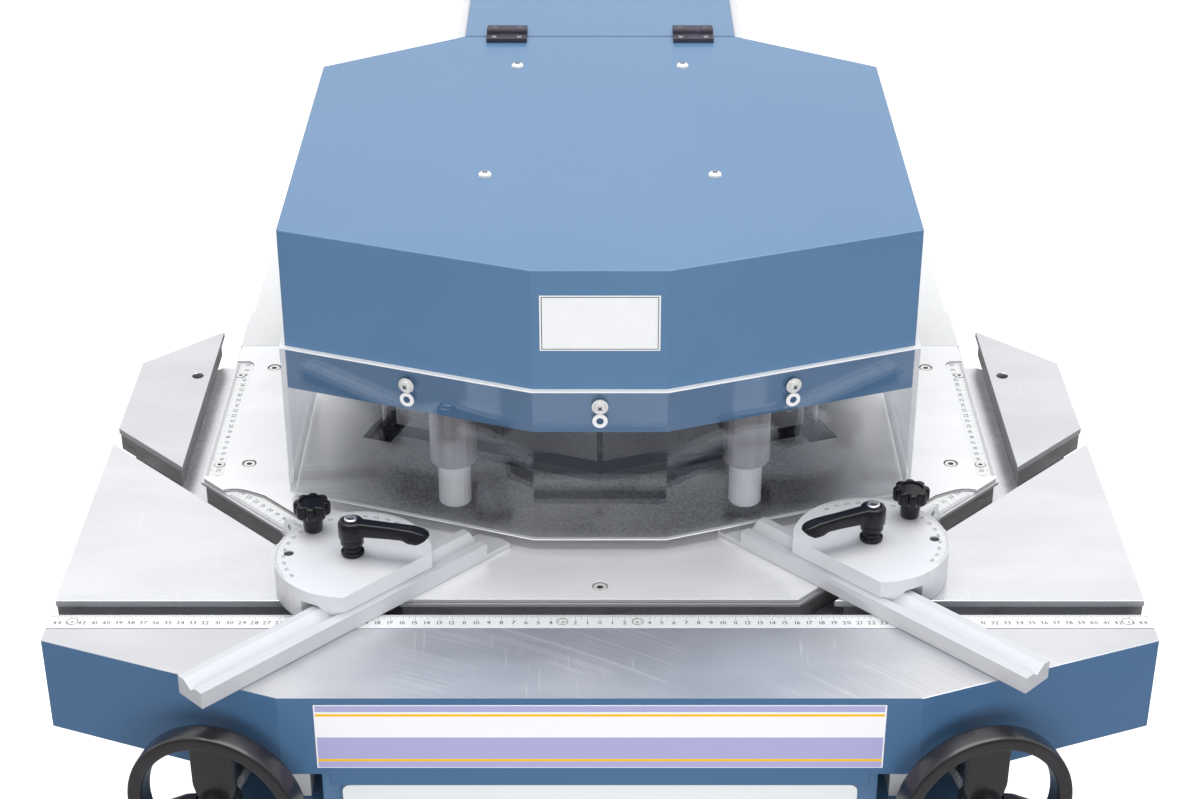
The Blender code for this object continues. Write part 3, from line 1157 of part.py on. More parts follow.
def make_handwheels():
    rim_inner = WHEEL_RADIUS - WHEEL_RIM_WIDTH
    half = WHEEL_RIM_DEPTH / 2
    soft = WHEEL_RIM_ROUND
    rim = [(WHEEL_RADIUS - soft, half), (WHEEL_RADIUS, half - soft), (WHEEL_RADIUS, soft - half),
           (WHEEL_RADIUS - soft, -half), (rim_inner + soft, -half), (rim_inner, soft - half),
           (rim_inner, half - soft), (rim_inner + soft, half)]
    hub_top = WHEEL_HUB_FRONT
    for side, word in SIDES.items():
        parent = WHEEL_AXES[side]
        wheel = as_part(turned(word + "_handwheel", rim, 32, closed=True), (BLACK, 0.25, 0.0), parent)
        lay_along_y(wheel)
        hub = turned(word + "_hub", [(0, hub_top), (WHEEL_HUB_RADIUS - OVERRUN, hub_top),
                                     (WHEEL_HUB_RADIUS, hub_top - OVERRUN), (WHEEL_HUB_RADIUS, -WHEEL_HUB_REAR),
                                     (0, -WHEEL_HUB_REAR)], 20)
        join(wheel, lay_along_y(hub))
        for i in range(WHEEL_SPOKES):
            spoke = box(word + "_spoke", (-WHEEL_SPOKE_WIDTH / 2, -WHEEL_SPOKE_THICKNESS / 2, 0),
                        (WHEEL_SPOKE_WIDTH / 2, WHEEL_SPOKE_THICKNESS / 2, rim_inner + soft))
            turn = 2 * math.pi * i / WHEEL_SPOKES
            reach = (rim_inner + soft) / 2
            spoke.location = (reach * math.sin(turn), 0, reach * math.cos(turn))
            spoke.rotation_euler = (0, turn, 0)
            join(wheel, spoke)
        bore = cylinder(word + "_wheel_bore", SHAFT_RADIUS + SEAT, -WHEEL_HUB_REAR - OVERRUN,
                        WHEEL_HUB_FRONT - WHEEL_HUB_CAP, segments=20)
        bore.location = (0, -(WHEEL_HUB_FRONT - WHEEL_HUB_CAP - WHEEL_HUB_REAR - OVERRUN) / 2, 0)
        cut(wheel, lay_along_y(bore))
        near = WHEEL_HUB_FRONT - WHEEL_HUB_CAP - SEAT
        start, end = WORM_REACH - WORM_HALF_LENGTH, WORM_REACH + WORM_HALF_LENGTH
        profile = [(0, near), (SHAFT_RADIUS, near), (SHAFT_RADIUS, -start), (WORM_COLLAR_RADIUS, -start),
                   (WORM_COLLAR_RADIUS, -start - WORM_COLLAR), (WORM_CORE_RADIUS, -start - WORM_COLLAR),
                   (WORM_CORE_RADIUS, WORM_COLLAR - end), (WORM_COLLAR_RADIUS, WORM_COLLAR - end),
                   (WORM_COLLAR_RADIUS, -end), (SHAFT_RADIUS, -end), (SHAFT_RADIUS, -SHAFT_REACH),
                   (0, -SHAFT_REACH)]
        shaft = as_part(turned(word + "_worm_shaft", profile, 16), (STEEL, 0.3, 1.0), parent)
        lay_along_y(shaft)


def make_slider(side, word, parent):
    neck = HALF_SLOT - SLIDER_SIDE_CLEAR
    foot = neck + SLOT_UNDERCUT - SLIDER_SIDE_CLEAR
    low = -PLATE_THICKNESS + SEAT
    slider = box(word + "_gauge_slider", (-SLIDER_INNER, -neck, low), (SLIDER_OUTER, neck, -SEAT))
    as_part(slider, (DARK_STEEL, 0.35, 1.0), parent)
    foot_top = low + SLIDER_FOOT_THICKNESS
    join(slider, box(word + "_slider_foot", (-SLIDER_INNER + SEAT, -foot, low), (SLIDER_OUTER - SEAT, foot, foot_top)))
    plate = [(LUG_INNER, -SEAT - OVERRUN), (SLIDER_OUTER, -SEAT - OVERRUN), (SLIDER_OUTER, LUG_TOP / 2),
             (LUG_HOLE_X + LUG_HOLE_RADIUS * 2, LUG_TOP), (LUG_INNER, LUG_TOP)]
    hole = arc((LUG_HOLE_X, LUG_HOLE_Z), LUG_HOLE_RADIUS, 0, 2 * math.pi, 10)[:-1]
    lug = flat(word + "_lug", [plate, hole], -LUG_THICKNESS / 2, LUG_THICKNESS / 2)
    lug.rotation_euler = (math.pi / 2, 0, 0)
    join(slider, lug, cylinder(word + "_slider_boss", SLIDER_BOSS_RADIUS, -SEAT - OVERRUN, SLIDER_BOSS_TOP))


def bar_profile(clear):
    """Top of the fence bar from its back to its front, raised by a clearance."""
    back = -BAR_BACK
    return [(back, BAR_RIDGE + clear), (back - BAR_WIDTH * BAR_RIDGE_SHARE, BAR_RIDGE + clear),
            (back - BAR_WIDTH * BAR_GROOVE_SHARE, BAR_GROOVE + clear),
            (back - BAR_WIDTH * BAR_LAND_SHARE, BAR_LAND + clear), (back - BAR_WIDTH, BAR_LAND + clear)]


def make_gauge_disc(side, word, parent):
    half = math.acos(-GAUGE_CHORD / GAUGE_RADIUS)
    outline = arc((0, 0), GAUGE_RADIUS, -half, half, 40)
    disc = flat(word + "_gauge_disc", [outline], SEAT, GAUGE_TOP)
    as_part(disc, (ALUMINIUM, 0.4, 1.0), parent)
    top = bar_profile(SEAT)
    recess = [(-RECESS_INNER, -OVERRUN), (-RECESS_INNER, RECESS_TOP), (top[1][0] + OVERRUN, RECESS_TOP)]
    recess += [(top[1][0], top[1][1])] + top[2:-1]
    recess += [(-GAUGE_RADIUS, BAR_LAND + SEAT), (-GAUGE_RADIUS, -OVERRUN)]
    tool = flat(word + "_bar_recess", [recess], -GAUGE_RADIUS, GAUGE_RADIUS)
    tool.rotation_euler = (math.pi / 2, 0, 0)
    across = INDEX_HOLE_REACH / math.sqrt(2)
    cut(disc, tool,
        cylinder(word + "_disc_bore", SLIDER_BOSS_RADIUS + SEAT, -OVERRUN, SLIDER_BOSS_TOP + SEAT),
        cylinder(word + "_index_hole", INDEX_HOLE_RADIUS, GAUGE_TOP - INDEX_HOLE_DEPTH, GAUGE_TOP + OVERRUN,
                 across, -side * across, 16))


def make_fence_bar(side, word, parent):
    outline = [(-BAR_BACK, SEAT)] + bar_profile(0) + [(-BAR_BACK - BAR_WIDTH, SEAT)]
    low, high = sorted((side * BAR_FRONT, -side * BAR_REAR))
    bar = flat(word + "_fence_bar", [outline], low, high)
    bar.rotation_euler = (math.pi / 2, 0, 0)
    as_part(bar, (ALUMINIUM, 0.4, 1.0), parent)
    near, far = sorted((side * BAR_STEP, side * (BAR_REAR + OVERRUN)))
    step = box(word + "_bar_step", (-BAR_BACK - BAR_WIDTH - OVERRUN, near, BAR_TOE),
               (-BAR_BACK + OVERRUN, far, BAR_RIDGE + OVERRUN))
    for obj in (bar, step):
        obj.location.y -= side * BAR_WITHDRAWN[side]
    cut(bar, step)


def make_clamp_lever(word, parent):
    """Waisted clamping lever: a turned hub and a straight, drooping grip with a blunt, footed tip."""
    flange = GAUGE_TOP + SEAT
    hub_shares = ((0.0, 0.97), (0.62, 0.97), (0.62, 1.0), (0.86, 0.92), (1.0, 0.86), (1.0, 0.52), (0.84, 0.40),
                  (0.70, 0.32), (0.68, 0.14), (0.90, 0.12), (0.90, 0.0), (0.0, 0.0))
    lever = turned(word + "_clamp_lever", [(LEVER_RADIUS * r, flange + LEVER_HEIGHT * z) for r, z in hub_shares], 20)
    as_part(lever, (BLACK, 0.3, 0.0), parent)
    grip_shares = ((0.05, 0.57), (0.05, 0.955), (0.80, 0.80), (0.93, 0.74), (0.99, 0.66), (1.0, 0.60),
                   (0.94, 0.42), (0.84, 0.38), (0.78, 0.41), (0.70, 0.46))
    grip = flat(word + "_grip", [[(LEVER_LENGTH * x, flange + LEVER_HEIGHT * z) for x, z in grip_shares]],
                -LEVER_WIDTH / 2, LEVER_WIDTH / 2)
    grip.rotation_euler = (math.pi / 2, 0, 0)
    bevel(grip, LEVER_WIDTH / 6, 2, math.radians(50))
    join(lever, grip)


def make_star_knob(word, parent):
    count = KNOB_LOBES * 5
    outline = []
    for i in range(count):
        turn = 2 * math.pi * i / count
        reach = KNOB_RADIUS - KNOB_LOBE_DEPTH * (1 - math.cos(KNOB_LOBES * turn)) / 2
        outline.append((reach * math.cos(turn), reach * math.sin(turn)))
    knob = flat(word + "_star_knob", [outline], KNOB_HEAD_BOTTOM, KNOB_TOP)
    bevel(knob, KNOB_EDGE, 1, math.radians(60))
    as_part(knob, (BLACK, 0.3, 0.0), parent)
    join(knob, cylinder(word + "_knob_stem", KNOB_STEM_RADIUS, GAUGE_TOP + SEAT, KNOB_HEAD_BOTTOM + OVERRUN))


def make_gauges():
    for side, word in SIDES.items():
        x = GAUGE_X[side]
        outwards = math.pi / 4 if side > 0 else 3 * math.pi / 4
        pivot = new_empty(word + "_gauge_pivot", (side * x, x - DIAGONAL_SLOT_OFFSET, 0), outwards, DATUM)
        make_slider(side, word, pivot)
        make_gauge_disc(side, word, pivot)
        make_fence_bar(side, word, pivot)
        make_clamp_lever(word, new_empty(word + "_lever_axis", (0, 0, 0), LEVER_TURNS[side] - outwards, pivot))
        make_star_knob(word, new_empty(word + "_knob_axis", (KNOB_REACH, 0, 0), 0.0, pivot))


def make_hydraulics():
    base = FLOOR + CABINET_WALL + SEAT
    top = base + TANK_HEIGHT
    tank = flat("oil_tank", [rounded_rectangle(TANK_HALF_WIDTH, TANK_FRONT, TANK_REAR, TANK_ROUND)], base, top)
    as_part(tank, (DARK_STEEL, 0.5, 0.0))
    foot = top + SEAT
    shares = ((0.0, 1.0), (0.72, 1.0), (0.80, 0.97), (0.80, 0.82), (0.90, 0.80), (0.90, 0.14), (1.0, 0.10),
              (1.0, 0.0), (0.0, 0.0))
    motor = turned("pump_motor", [(MOTOR_RADIUS * r, foot + MOTOR_HEIGHT * z) for r, z in shares], 24)
    motor.location = (MOTOR_X, MOTOR_Y, 0)
    as_part(motor, (DARK_STEEL, 0.4, 0.3))
    bend = [(PIPE_Y - PIPE_BEND * (1 - math.cos(t)), PIPE_HEIGHT - PIPE_BEND * (1 - math.sin(t)))
            for t in (math.pi / 2 * i / 6 for i in range(7))]
    route = [(PIPE_Y, foot)] + bend + [(HEAD_REAR + SEAT, PIPE_HEIGHT)]
    curve = bpy.data.curves.new("pressure_pipe", "CURVE")
    curve.dimensions = "3D"
    curve.bevel_depth = PIPE_RADIUS
    curve.bevel_resolution = 2
    curve.use_fill_caps = True
    spline = curve.splines.new("POLY")
    spline.points.add(len(route) - 1)
    for point, (y, z) in zip(spline.points, route):
        point.co = (PIPE_X, y, z, 1)
    pipe = bpy.data.objects.new("pressure_pipe", curve)
    pipe.parent = DATUM
    PARTS.objects.link(pipe)
    add_material(pipe, STEEL, 0.3, 1.0)


clear_scene()
PARTS = new_collection("corner_notcher")
TOOLS = new_collection("cutters")
DATUM = new_empty("table_datum", (0, DATUM_Y, TABLE_HEIGHT))
VERTICES = {
    -1: new_empty("left_vertex", (0, VERTEX_Y, 0), math.pi - BLADE_ANGLE, DATUM),
    1: new_empty("right_vertex", (0, VERTEX_Y, 0), BLADE_ANGLE, DATUM),
}
WHEEL_AXES = {side: new_empty(word + "_wheel_axis", (side * WHEEL_X, WHEEL_Y, -WHEEL_DEPTH),
                              side * SHAFT_TURN, DATUM)
              for side, word in SIDES.items()}
HOOD_HINGE = new_empty("hood_hinge", (0, HOOD_REAR, HINGE_AXIS_HEIGHT), 0.0, DATUM)
DOOR_HINGE = new_empty("door_hinge", (-DOOR_HALF_WIDTH, CABINET_FRONT - SEAT, 0), 0.0, DATUM)

make_front_table()
make_wing_plates()
make_rear_side_plates()
make_centre_base()
make_centre_plate()
make_rules()
make_table_bed()
make_blades()
make_sectors()
make_sector_pivot()
make_upper_holders()
make_ram()
make_cylinder_barrel()
make_c_frame()
make_hold_downs()
make_hood()
make_guard()
make_rear_cover()
make_hinges()
make_rear_deck()
make_cabinet()
make_door()
make_gussets()
make_handwheels()
make_gauges()
make_hydraulics()
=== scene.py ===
"""Looks of the corner notcher: finishes for its solids, and the small pieces that dress them."""
import math

import bpy
import numpy as np
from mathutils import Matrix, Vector

import json


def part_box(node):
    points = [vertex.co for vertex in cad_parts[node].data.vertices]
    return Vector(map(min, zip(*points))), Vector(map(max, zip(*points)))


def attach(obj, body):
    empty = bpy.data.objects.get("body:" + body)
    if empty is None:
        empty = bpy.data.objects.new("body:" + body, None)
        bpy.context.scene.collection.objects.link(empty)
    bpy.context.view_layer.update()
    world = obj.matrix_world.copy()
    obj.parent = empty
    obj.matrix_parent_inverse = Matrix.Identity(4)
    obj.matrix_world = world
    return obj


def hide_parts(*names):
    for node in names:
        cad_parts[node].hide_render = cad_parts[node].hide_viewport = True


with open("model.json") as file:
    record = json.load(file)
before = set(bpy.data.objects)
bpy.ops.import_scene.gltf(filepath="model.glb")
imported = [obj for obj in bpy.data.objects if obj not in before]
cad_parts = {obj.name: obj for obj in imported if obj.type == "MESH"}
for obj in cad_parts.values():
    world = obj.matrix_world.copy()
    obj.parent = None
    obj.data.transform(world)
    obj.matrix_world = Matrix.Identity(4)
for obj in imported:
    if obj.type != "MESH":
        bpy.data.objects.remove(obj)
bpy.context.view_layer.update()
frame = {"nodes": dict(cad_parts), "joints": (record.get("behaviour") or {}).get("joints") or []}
NODES = frame["nodes"]

RULE_LOW, RULE_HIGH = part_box("front_rule")
TOP = RULE_HIGH.z
MIDDLE = (RULE_LOW.y + RULE_HIGH.y) / 2
SIDES = {"left": -1, "right": 1}
TAU = 2 * math.pi
GLOSS_AHEAD, GLOSS_BEHIND, DIFFUSE_SKY = 1.0, 0.22, 0.60
CEILING_POWER, FRONT_POWER = 73, 55


def at(x, y, z):
    """A point given from the middle of the front rule, on the table top, in the row frame."""
    return np.array((x, y + MIDDLE, z + TOP), float)


# ---------------------------------------------------------------- meshes

def mesh_from(name, points, faces, smooth=True):
    mesh = bpy.data.meshes.new(name)
    mesh.from_pydata(np.asarray(points, float).reshape(-1, 3).tolist(), [], [list(map(int, f)) for f in faces])
    mesh.update()
    if smooth:
        mesh.shade_smooth()
    return mesh


def grid(name, points, wrap_rows=False, wrap_columns=False, caps=False, smooth=True):
    """A surface over a grid of points; rows run along it and columns round it. caps closes its first and last rows."""
    rows, columns, _ = points.shape
    index = np.arange(rows * columns).reshape(rows, columns)
    table = np.vstack([index, index[:1]]) if wrap_rows else index
    table = np.hstack([table, table[:, :1]]) if wrap_columns else table
    faces = np.stack([table[:-1, :-1], table[:-1, 1:], table[1:, 1:], table[1:, :-1]], -1).reshape(-1, 4).tolist()
    if caps:
        faces += [index[0][::-1].tolist(), index[-1].tolist()]
    return mesh_from(name, points, faces, smooth)


def dressed(name, mesh, body, material, bevel=0.0, steps=2):
    """Adds a piece that rides on a body and takes its finish from a material slot."""
    obj = bpy.data.objects.new(name, mesh)
    bpy.context.scene.collection.objects.link(obj)
    mesh.materials.clear()
    mesh.materials.append(material)
    if bevel:
        soften(obj, bevel, steps)
    mesh.set_sharp_from_angle(angle=math.radians(40))
    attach(obj, body)
    return obj


def soften(obj, width, steps=2, weld=False):
    """Rounds an object's sharp edges, merging a CAD solid's loose triangles first."""
    if weld:
        joined = obj.modifiers.new("weld", "WELD")
        joined.merge_threshold = 0.00001
    rounding = obj.modifiers.new("edges", "BEVEL")
    rounding.width = width
    rounding.segments = steps
    rounding.limit_method = "ANGLE"
    rounding.angle_limit = math.radians(32)
    rounding.harden_normals = False
    rounding.use_clamp_overlap = True
    rounding.miter_outer = "MITER_SHARP"
    return obj


def lathe(name, profile, origin, axis=(0, 0, 1), steps=32, caps=True):
    """A turned surface: a profile of (radius, height) carried round an axis through an origin, closed at its poles."""
    profile = np.asarray(profile, float)
    axis = np.asarray(axis, float) / np.linalg.norm(axis)
    side = np.cross(axis, (0, 0, 1) if abs(axis[2]) < 0.9 else (0, 1, 0))
    side /= np.linalg.norm(side)
    other = np.cross(axis, side)
    turn = np.linspace(0, TAU, steps, endpoint=False)
    ring = np.cos(turn)[:, None] * side + np.sin(turn)[:, None] * other
    points = origin + profile[:, 0][:, None, None] * ring[None] + profile[:, 1][:, None, None] * axis
    return grid(name, points[::-1], wrap_columns=True, caps=caps)


def slab(name, outline, low, high, smooth=False):
    """A plate between two heights over a counter-clockwise outline of (x, y) points."""
    outline = np.asarray(outline, float)
    count = len(outline)
    points = np.vstack([np.column_stack([outline, np.full(count, low)]), np.column_stack([outline, np.full(count, high)])])
    ring = np.arange(count)
    after = np.roll(ring, -1)
    faces = np.column_stack([ring, after, after + count, ring + count]).tolist()
    faces += [ring[::-1].tolist(), (ring + count).tolist()]
    return mesh_from(name, points, faces, smooth)


def panel(name, centre, across, along, width, height, thickness, smooth=False):
    """A thin rectangular plate whose face is spanned by two unit vectors, standing off its centre by its thickness."""
    across, along = np.asarray(across, float), np.asarray(along, float)
    out = np.cross(across, along)
    corners = [centre + across * width / 2 * i + along * height / 2 * j + out * k * thickness
               for k in (0, 1) for i, j in ((-1, -1), (1, -1), (1, 1), (-1, 1))]
    faces = [(3, 2, 1, 0), (4, 5, 6, 7), (0, 1, 5, 4), (1, 2, 6, 5), (2, 3, 7, 6), (3, 0, 4, 7)]
    return mesh_from(name, corners, faces, smooth)


def joined(name, meshes, smooth=None):
    """One mesh out of several."""
    points, faces, flags, start = [], [], [], 0
    for mesh in meshes:
        co = np.empty(len(mesh.vertices) * 3)
        mesh.vertices.foreach_get("co", co)
        points.append(co.reshape(-1, 3))
        faces += [[start + v for v in p.vertices] for p in mesh.polygons]
        flags += [p.use_smooth for p in mesh.polygons]
        start += len(mesh.vertices)
        bpy.data.meshes.remove(mesh)
    mesh = mesh_from(name, np.vstack(points), faces, False)
    mesh.polygons.foreach_set("use_smooth", flags)
    return mesh


def turned_about(points, centre, angle):
    """Points turned about an upright axis through a centre."""
    c, s = math.cos(angle), math.sin(angle)
    moved = np.asarray(points, float) - centre
    return np.stack([c * moved[..., 0] - s * moved[..., 1], s * moved[..., 0] + c * moved[..., 1], moved[..., 2]], -1) + centre


# ---------------------------------------------------------------- figures on the rules and scales

FIGURES = {}


def figure(sign):
    """A digit's flat mesh, 1 unit high and centred on its own middle, made once."""
    if sign not in FIGURES:
        curve = bpy.data.curves.new("figure_" + sign, "FONT")
        curve.body = sign
        curve.resolution_u = 2
        obj = bpy.data.objects.new("figure_" + sign, curve)
        bpy.context.scene.collection.objects.link(obj)
        bpy.context.view_layer.update()
        mesh = bpy.data.meshes.new_from_object(obj.evaluated_get(bpy.context.evaluated_depsgraph_get()))
        co = np.empty(len(mesh.vertices) * 3)
        mesh.vertices.foreach_get("co", co)
        co = co.reshape(-1, 3)
        low, high = co.min(0), co.max(0)
        height = high[1] - low[1]
        co = (co - (low + high) / 2) / height
        FIGURES[sign] = (co, [list(p.vertices) for p in mesh.polygons], (high[0] - low[0]) / height)
        bpy.data.objects.remove(obj)
        bpy.data.meshes.remove(mesh)
    return FIGURES[sign]


def figures(name, labels):
    """Numbers as one flat mesh: each label is (text, centre, unit vector to the right, unit vector up, height)."""
    points, faces, start = [], [], 0
    for text, centre, right, up, height in labels:
        right, up = np.asarray(right, float), np.asarray(up, float)
        widths = [figure(sign)[2] for sign in text]
        gap = 0.18
        run = -(sum(widths) + gap * (len(text) - 1)) / 2
        for sign, width in zip(text, widths):
            co, polygons, _ = figure(sign)
            x = (co[:, 0] + run + width / 2) * height
            y = co[:, 1] * height
            points.append(centre + x[:, None] * right + y[:, None] * up)
            faces += [[start + v for v in p] for p in polygons]
            start += len(co)
            run += width + gap
    return mesh_from(name, np.vstack(points), faces, False)


def ticks(name, marks):
    """Scale lines as one flat mesh: each mark is (start, unit vector along, unit vector across, length, width)."""
    corners = []
    for start, along, across, length, width in marks:
        along, across = np.asarray(along, float), np.asarray(across, float) * width / 2
        corners += [start - across, start + across, start + across + along * length, start - across + along * length]
    index = np.arange(len(corners)).reshape(-1, 4)
    up = np.cross(np.asarray(marks[0][1], float), np.asarray(marks[0][2], float))[2]
    faces = index if up < 0 else index[:, ::-1]
    return mesh_from(name, corners, faces.tolist(), False)


# ---------------------------------------------------------------- finishes

class Signal:
    """A shader value that ordinary arithmetic works on."""

    def __init__(self, finish, socket):
        self.finish, self.socket = finish, socket

    def maths(self, operation, *values):
        return self.finish.node("ShaderNodeMath", {"operation": operation}, dict(enumerate((self, *values))))

    def __add__(self, other):
        return self.maths("ADD", other)

    def __sub__(self, other):
        return self.maths("SUBTRACT", other)

    def __mul__(self, other):
        return self.maths("MULTIPLY", other)

    def __truediv__(self, other):
        return self.maths("DIVIDE", other)

    def __pow__(self, other):
        return self.maths("POWER", other)

    def __gt__(self, other):
        return self.maths("GREATER_THAN", other)

    def __lt__(self, other):
        return self.maths("LESS_THAN", other)

    def __abs__(self):
        return self.maths("ABSOLUTE")

    def __neg__(self):
        return self.maths("MULTIPLY", -1)

    def __mod__(self, other):
        return self.maths("FLOORED_MODULO", other)

    def __radd__(self, other):
        return self.maths("ADD", other)

    def __rmul__(self, other):
        return self.maths("MULTIPLY", other)

    def __rsub__(self, other):
        return (-self).maths("ADD", other)

    def most(self, other):
        return self.maths("MAXIMUM", other)

    def least(self, other):
        return self.maths("MINIMUM", other)

    def between(self, low, high):
        """Rises smoothly from 0 at low to 1 at high."""
        return self.finish.node("ShaderNodeMapRange", {"interpolation_type": "SMOOTHSTEP"},
                                {"Value": self, "From Min": low, "From Max": high})


class Finish:
    """A material for one of the notcher's surfaces."""

    def __init__(self, name, **shader):
        self.material = bpy.data.materials.new(name)
        self.material.use_nodes = True
        self.tree = self.material.node_tree
        self.shader = self.tree.nodes["Principled BSDF"]
        self.position = None
        self.set(**shader)

    def node(self, kind, settings=None, inputs=None, output=0):
        made = self.tree.nodes.new(kind)
        for key, value in (settings or {}).items():
            if key == "stops":
                ramp = made.color_ramp
                while len(ramp.elements) < len(value):
                    ramp.elements.new(0.5)
                for stop, (place, colour) in zip(ramp.elements, value):
                    stop.position = place
                    stop.color = (*colour, 1)
            else:
                setattr(made, key, value)
        for key, value in (inputs or {}).items():
            self.join(made.inputs[key], value)
        return Signal(self, made.outputs[output])

    def join(self, socket, value):
        if isinstance(value, Signal):
            self.tree.links.new(value.socket, socket)
        elif isinstance(value, (tuple, list)) and len(value) == 3 and socket.type == "RGBA":
            socket.default_value = (*value, 1)
        else:
            socket.default_value = value

    def set(self, **sockets):
        for key, value in sockets.items():
            self.join(self.shader.inputs[key.replace("_", " ")], value)
        return self

    @property
    def place(self):
        """The point on the surface, in the row frame, in metres."""
        if self.position is None:
            self.position = self.node("ShaderNodeTexCoord", {}, {}, 3)
        return self.position

    def axis(self, letter):
        return self.node("ShaderNodeSeparateXYZ", {}, {0: self.place}, "XYZ".index(letter))

    def stretched(self, stretch, turn=(0, 0, 0)):
        return self.node("ShaderNodeMapping", {}, {"Vector": self.place, "Rotation": turn, "Scale": stretch})

    def noise(self, scale, detail=2.0, rough=0.5, stretch=None, turn=(0, 0, 0)):
        where = self.stretched(stretch, turn) if stretch else self.place
        return self.node("ShaderNodeTexNoise", {}, {"Vector": where, "Scale": scale, "Detail": detail, "Roughness": rough})

    def mix(self, factor, low, high):
        return self.node("ShaderNodeMix", {"data_type": "RGBA"}, {0: factor, 6: low, 7: high}, 2)

    def bump(self, height, distance, strength=1.0):
        return self.set(Normal=self.node("ShaderNodeBump", {}, {"Height": height, "Distance": distance, "Strength": strength}))


def upward(finish):
    """1 on faces that look up, 0 elsewhere."""
    normal = finish.node("ShaderNodeNewGeometry", {}, {}, 1)
    return finish.node("ShaderNodeSeparateXYZ", {}, {0: normal}, 2).between(0.55, 0.9)


def paint(name, colour, roughness=0.34, orange_peel=0.00004, dust=0.03, over=None):
    """Sprayed machine paint: a faint orange peel, with cloudy patches and a few specks of dust."""
    finish = Finish(name, Coat_Weight=0.25, Coat_Roughness=0.2)
    cloud = finish.noise(4.0, 3.0)
    speck = finish.noise(260.0, 1.0).between(0.74, 0.80)
    deep = tuple(c * 0.94 for c in colour)
    pale = tuple(c + (1 - c) * dust for c in colour)
    body = finish.mix(cloud, deep, pale)
    if over is not None:
        body = over(finish, body)
    finish.set(Base_Color=finish.mix(speck * 0.35, body, tuple(c * 0.6 for c in colour)),
               Roughness=roughness + 0.10 * (cloud - 0.5) + 0.05 * finish.noise(60.0, 2.0))
    return finish.bump(finish.noise(420.0, 2.0), orange_peel).material


def ground(name, colour=(0.80, 0.805, 0.83), roughness=0.30, turn=0.0, sawn_colour_and_shade=(0.20, 0.19, 0.195), metallic=0.8,
           swirl=(0.6, -0.9, 0.35), top=None, flank=None, middle_tint=None, dull_and_shaded=None):
    """Ground steel: fine parallel lines, cloudy bands, crossed and curved scratches with a painted highlight along the
    curved ones, and darker sawn or painted sides, the sawn ones partly painted shade under a lip painted as lit.
    """
    finish = Finish(name)
    lines = finish.noise(60.0, 4.0, 0.7, (1.0, 34.0, 1.0), (0, 0, turn))
    bands = finish.noise(5.0, 2.0, 0.5, (1.4, 3.6, 1.0), (0, 0, turn))
    cross = finish.noise(34.0, 3.0, 0.6, (24.0, 0.7, 1.0), (0, 0, turn + 0.35)).between(0.62, 0.72)
    cloud = finish.noise(7.0, 4.0, 0.6)
    x, y = finish.axis("X") - swirl[0], finish.axis("Y") - swirl[1]
    radius = (x * x + y * y) ** 0.5
    arcs = finish.node("ShaderNodeTexNoise", {"noise_dimensions": "1D"}, {"W": radius, "Scale": 900.0, "Detail": 3.0})
    arcs = arcs.between(0.55, 0.75) * finish.noise(9.0, 2.0).between(0.45, 0.6) * swirl[2]
    up = upward(finish) if top is None else upward(finish) * top(finish)
    tone = finish.mix(bands.between(0.35, 0.65), tuple(c * 0.93 for c in colour), colour)
    tone = finish.mix(lines.between(0.3, 0.7) * 0.5, tone, tuple(min(1, c * 1.08) for c in colour))
    tone = finish.mix(cloud.between(0.56, 0.78) * 0.20, tone, tuple(c * 0.74 for c in colour))
    if middle_tint is not None:
        tone = finish.mix(middle_tint(finish), tone, tuple(c * d for c, d in zip(colour, (0.82, 0.845, 0.91))))
    # Curved scratches painted pale: real swirl marks with a painted highlight standing in for their streaky
    # reflections.
    tone = finish.mix(arcs * 0.5, tone, (0.93, 0.935, 0.95))
    if flank is None:
        # Sides: a dark sawn colour that is partly painted shade, rust streaks, and a lighter band painted as lit along
        # the top lip, with the wall below it left in painted shade.
        lip = (finish.axis("Z") + -TOP).between(-0.0064, -0.0058)
        flank = finish.mix(finish.noise(90.0, 3.0, 0.6, (1.0, 1.0, 6.0)), sawn_colour_and_shade, tuple(c * 1.7 for c in sawn_colour_and_shade))
        rust = finish.noise(26.0, 4.0, 0.6, (1.0, 1.0, 3.0)).between(0.52, 0.72)
        flank = finish.mix(rust * 0.45, flank, (0.115, 0.070, 0.050))
        flank = finish.mix(lip * 0.8, flank, tuple(min(1, c * 0.62) for c in colour))
        flank_metal = 0.35
    else:
        flank, flank_metal = flank(finish), 0.0
    shine = up * (roughness + 0.14 * (bands - 0.5) + 0.10 * cross + 0.12 * arcs + 0.06 * lines)
    # Behind the guard: oily, duller steel, its dark stain colour partly painted shade under the hood.
    if dull_and_shaded is not None:
        zone = dull_and_shaded(finish)
        grit = finish.noise(420.0, 3.0, 0.7)
        stain_and_shade = finish.mix(grit.between(0.42, 0.60), (0.085, 0.079, 0.084), (0.30, 0.294, 0.308))
        tone = finish.mix(zone * (0.70 + 0.30 * finish.noise(9.0, 3.0).between(0.35, 0.60)), tone, stain_and_shade)
        metallic = metallic * (1 - 0.6 * zone)
        shine = shine + 0.22 * zone
    finish.set(Base_Color=finish.mix(up, flank, tone), Metallic=flank_metal + (metallic - flank_metal) * up,
               Roughness=0.42 * (1 - up) + shine)
    return finish.bump((lines + 0.5 * cross + arcs) * up, 0.000012).material


def satin_metal(name, colour, roughness, metallic=1.0, grain=0.00001):
    """Machined and matt-blasted metal with a fine even grain."""
    finish = Finish(name, Metallic=metallic)
    grit = finish.noise(900.0, 2.0)
    cloud = finish.noise(22.0, 3.0)
    finish.set(Base_Color=finish.mix(cloud, tuple(c * 0.95 for c in colour), tuple(min(1, c * 1.03) for c in colour)),
               Roughness=roughness + 0.10 * (cloud - 0.5) + 0.05 * (grit - 0.5))
    return finish.bump(grit, grain).material


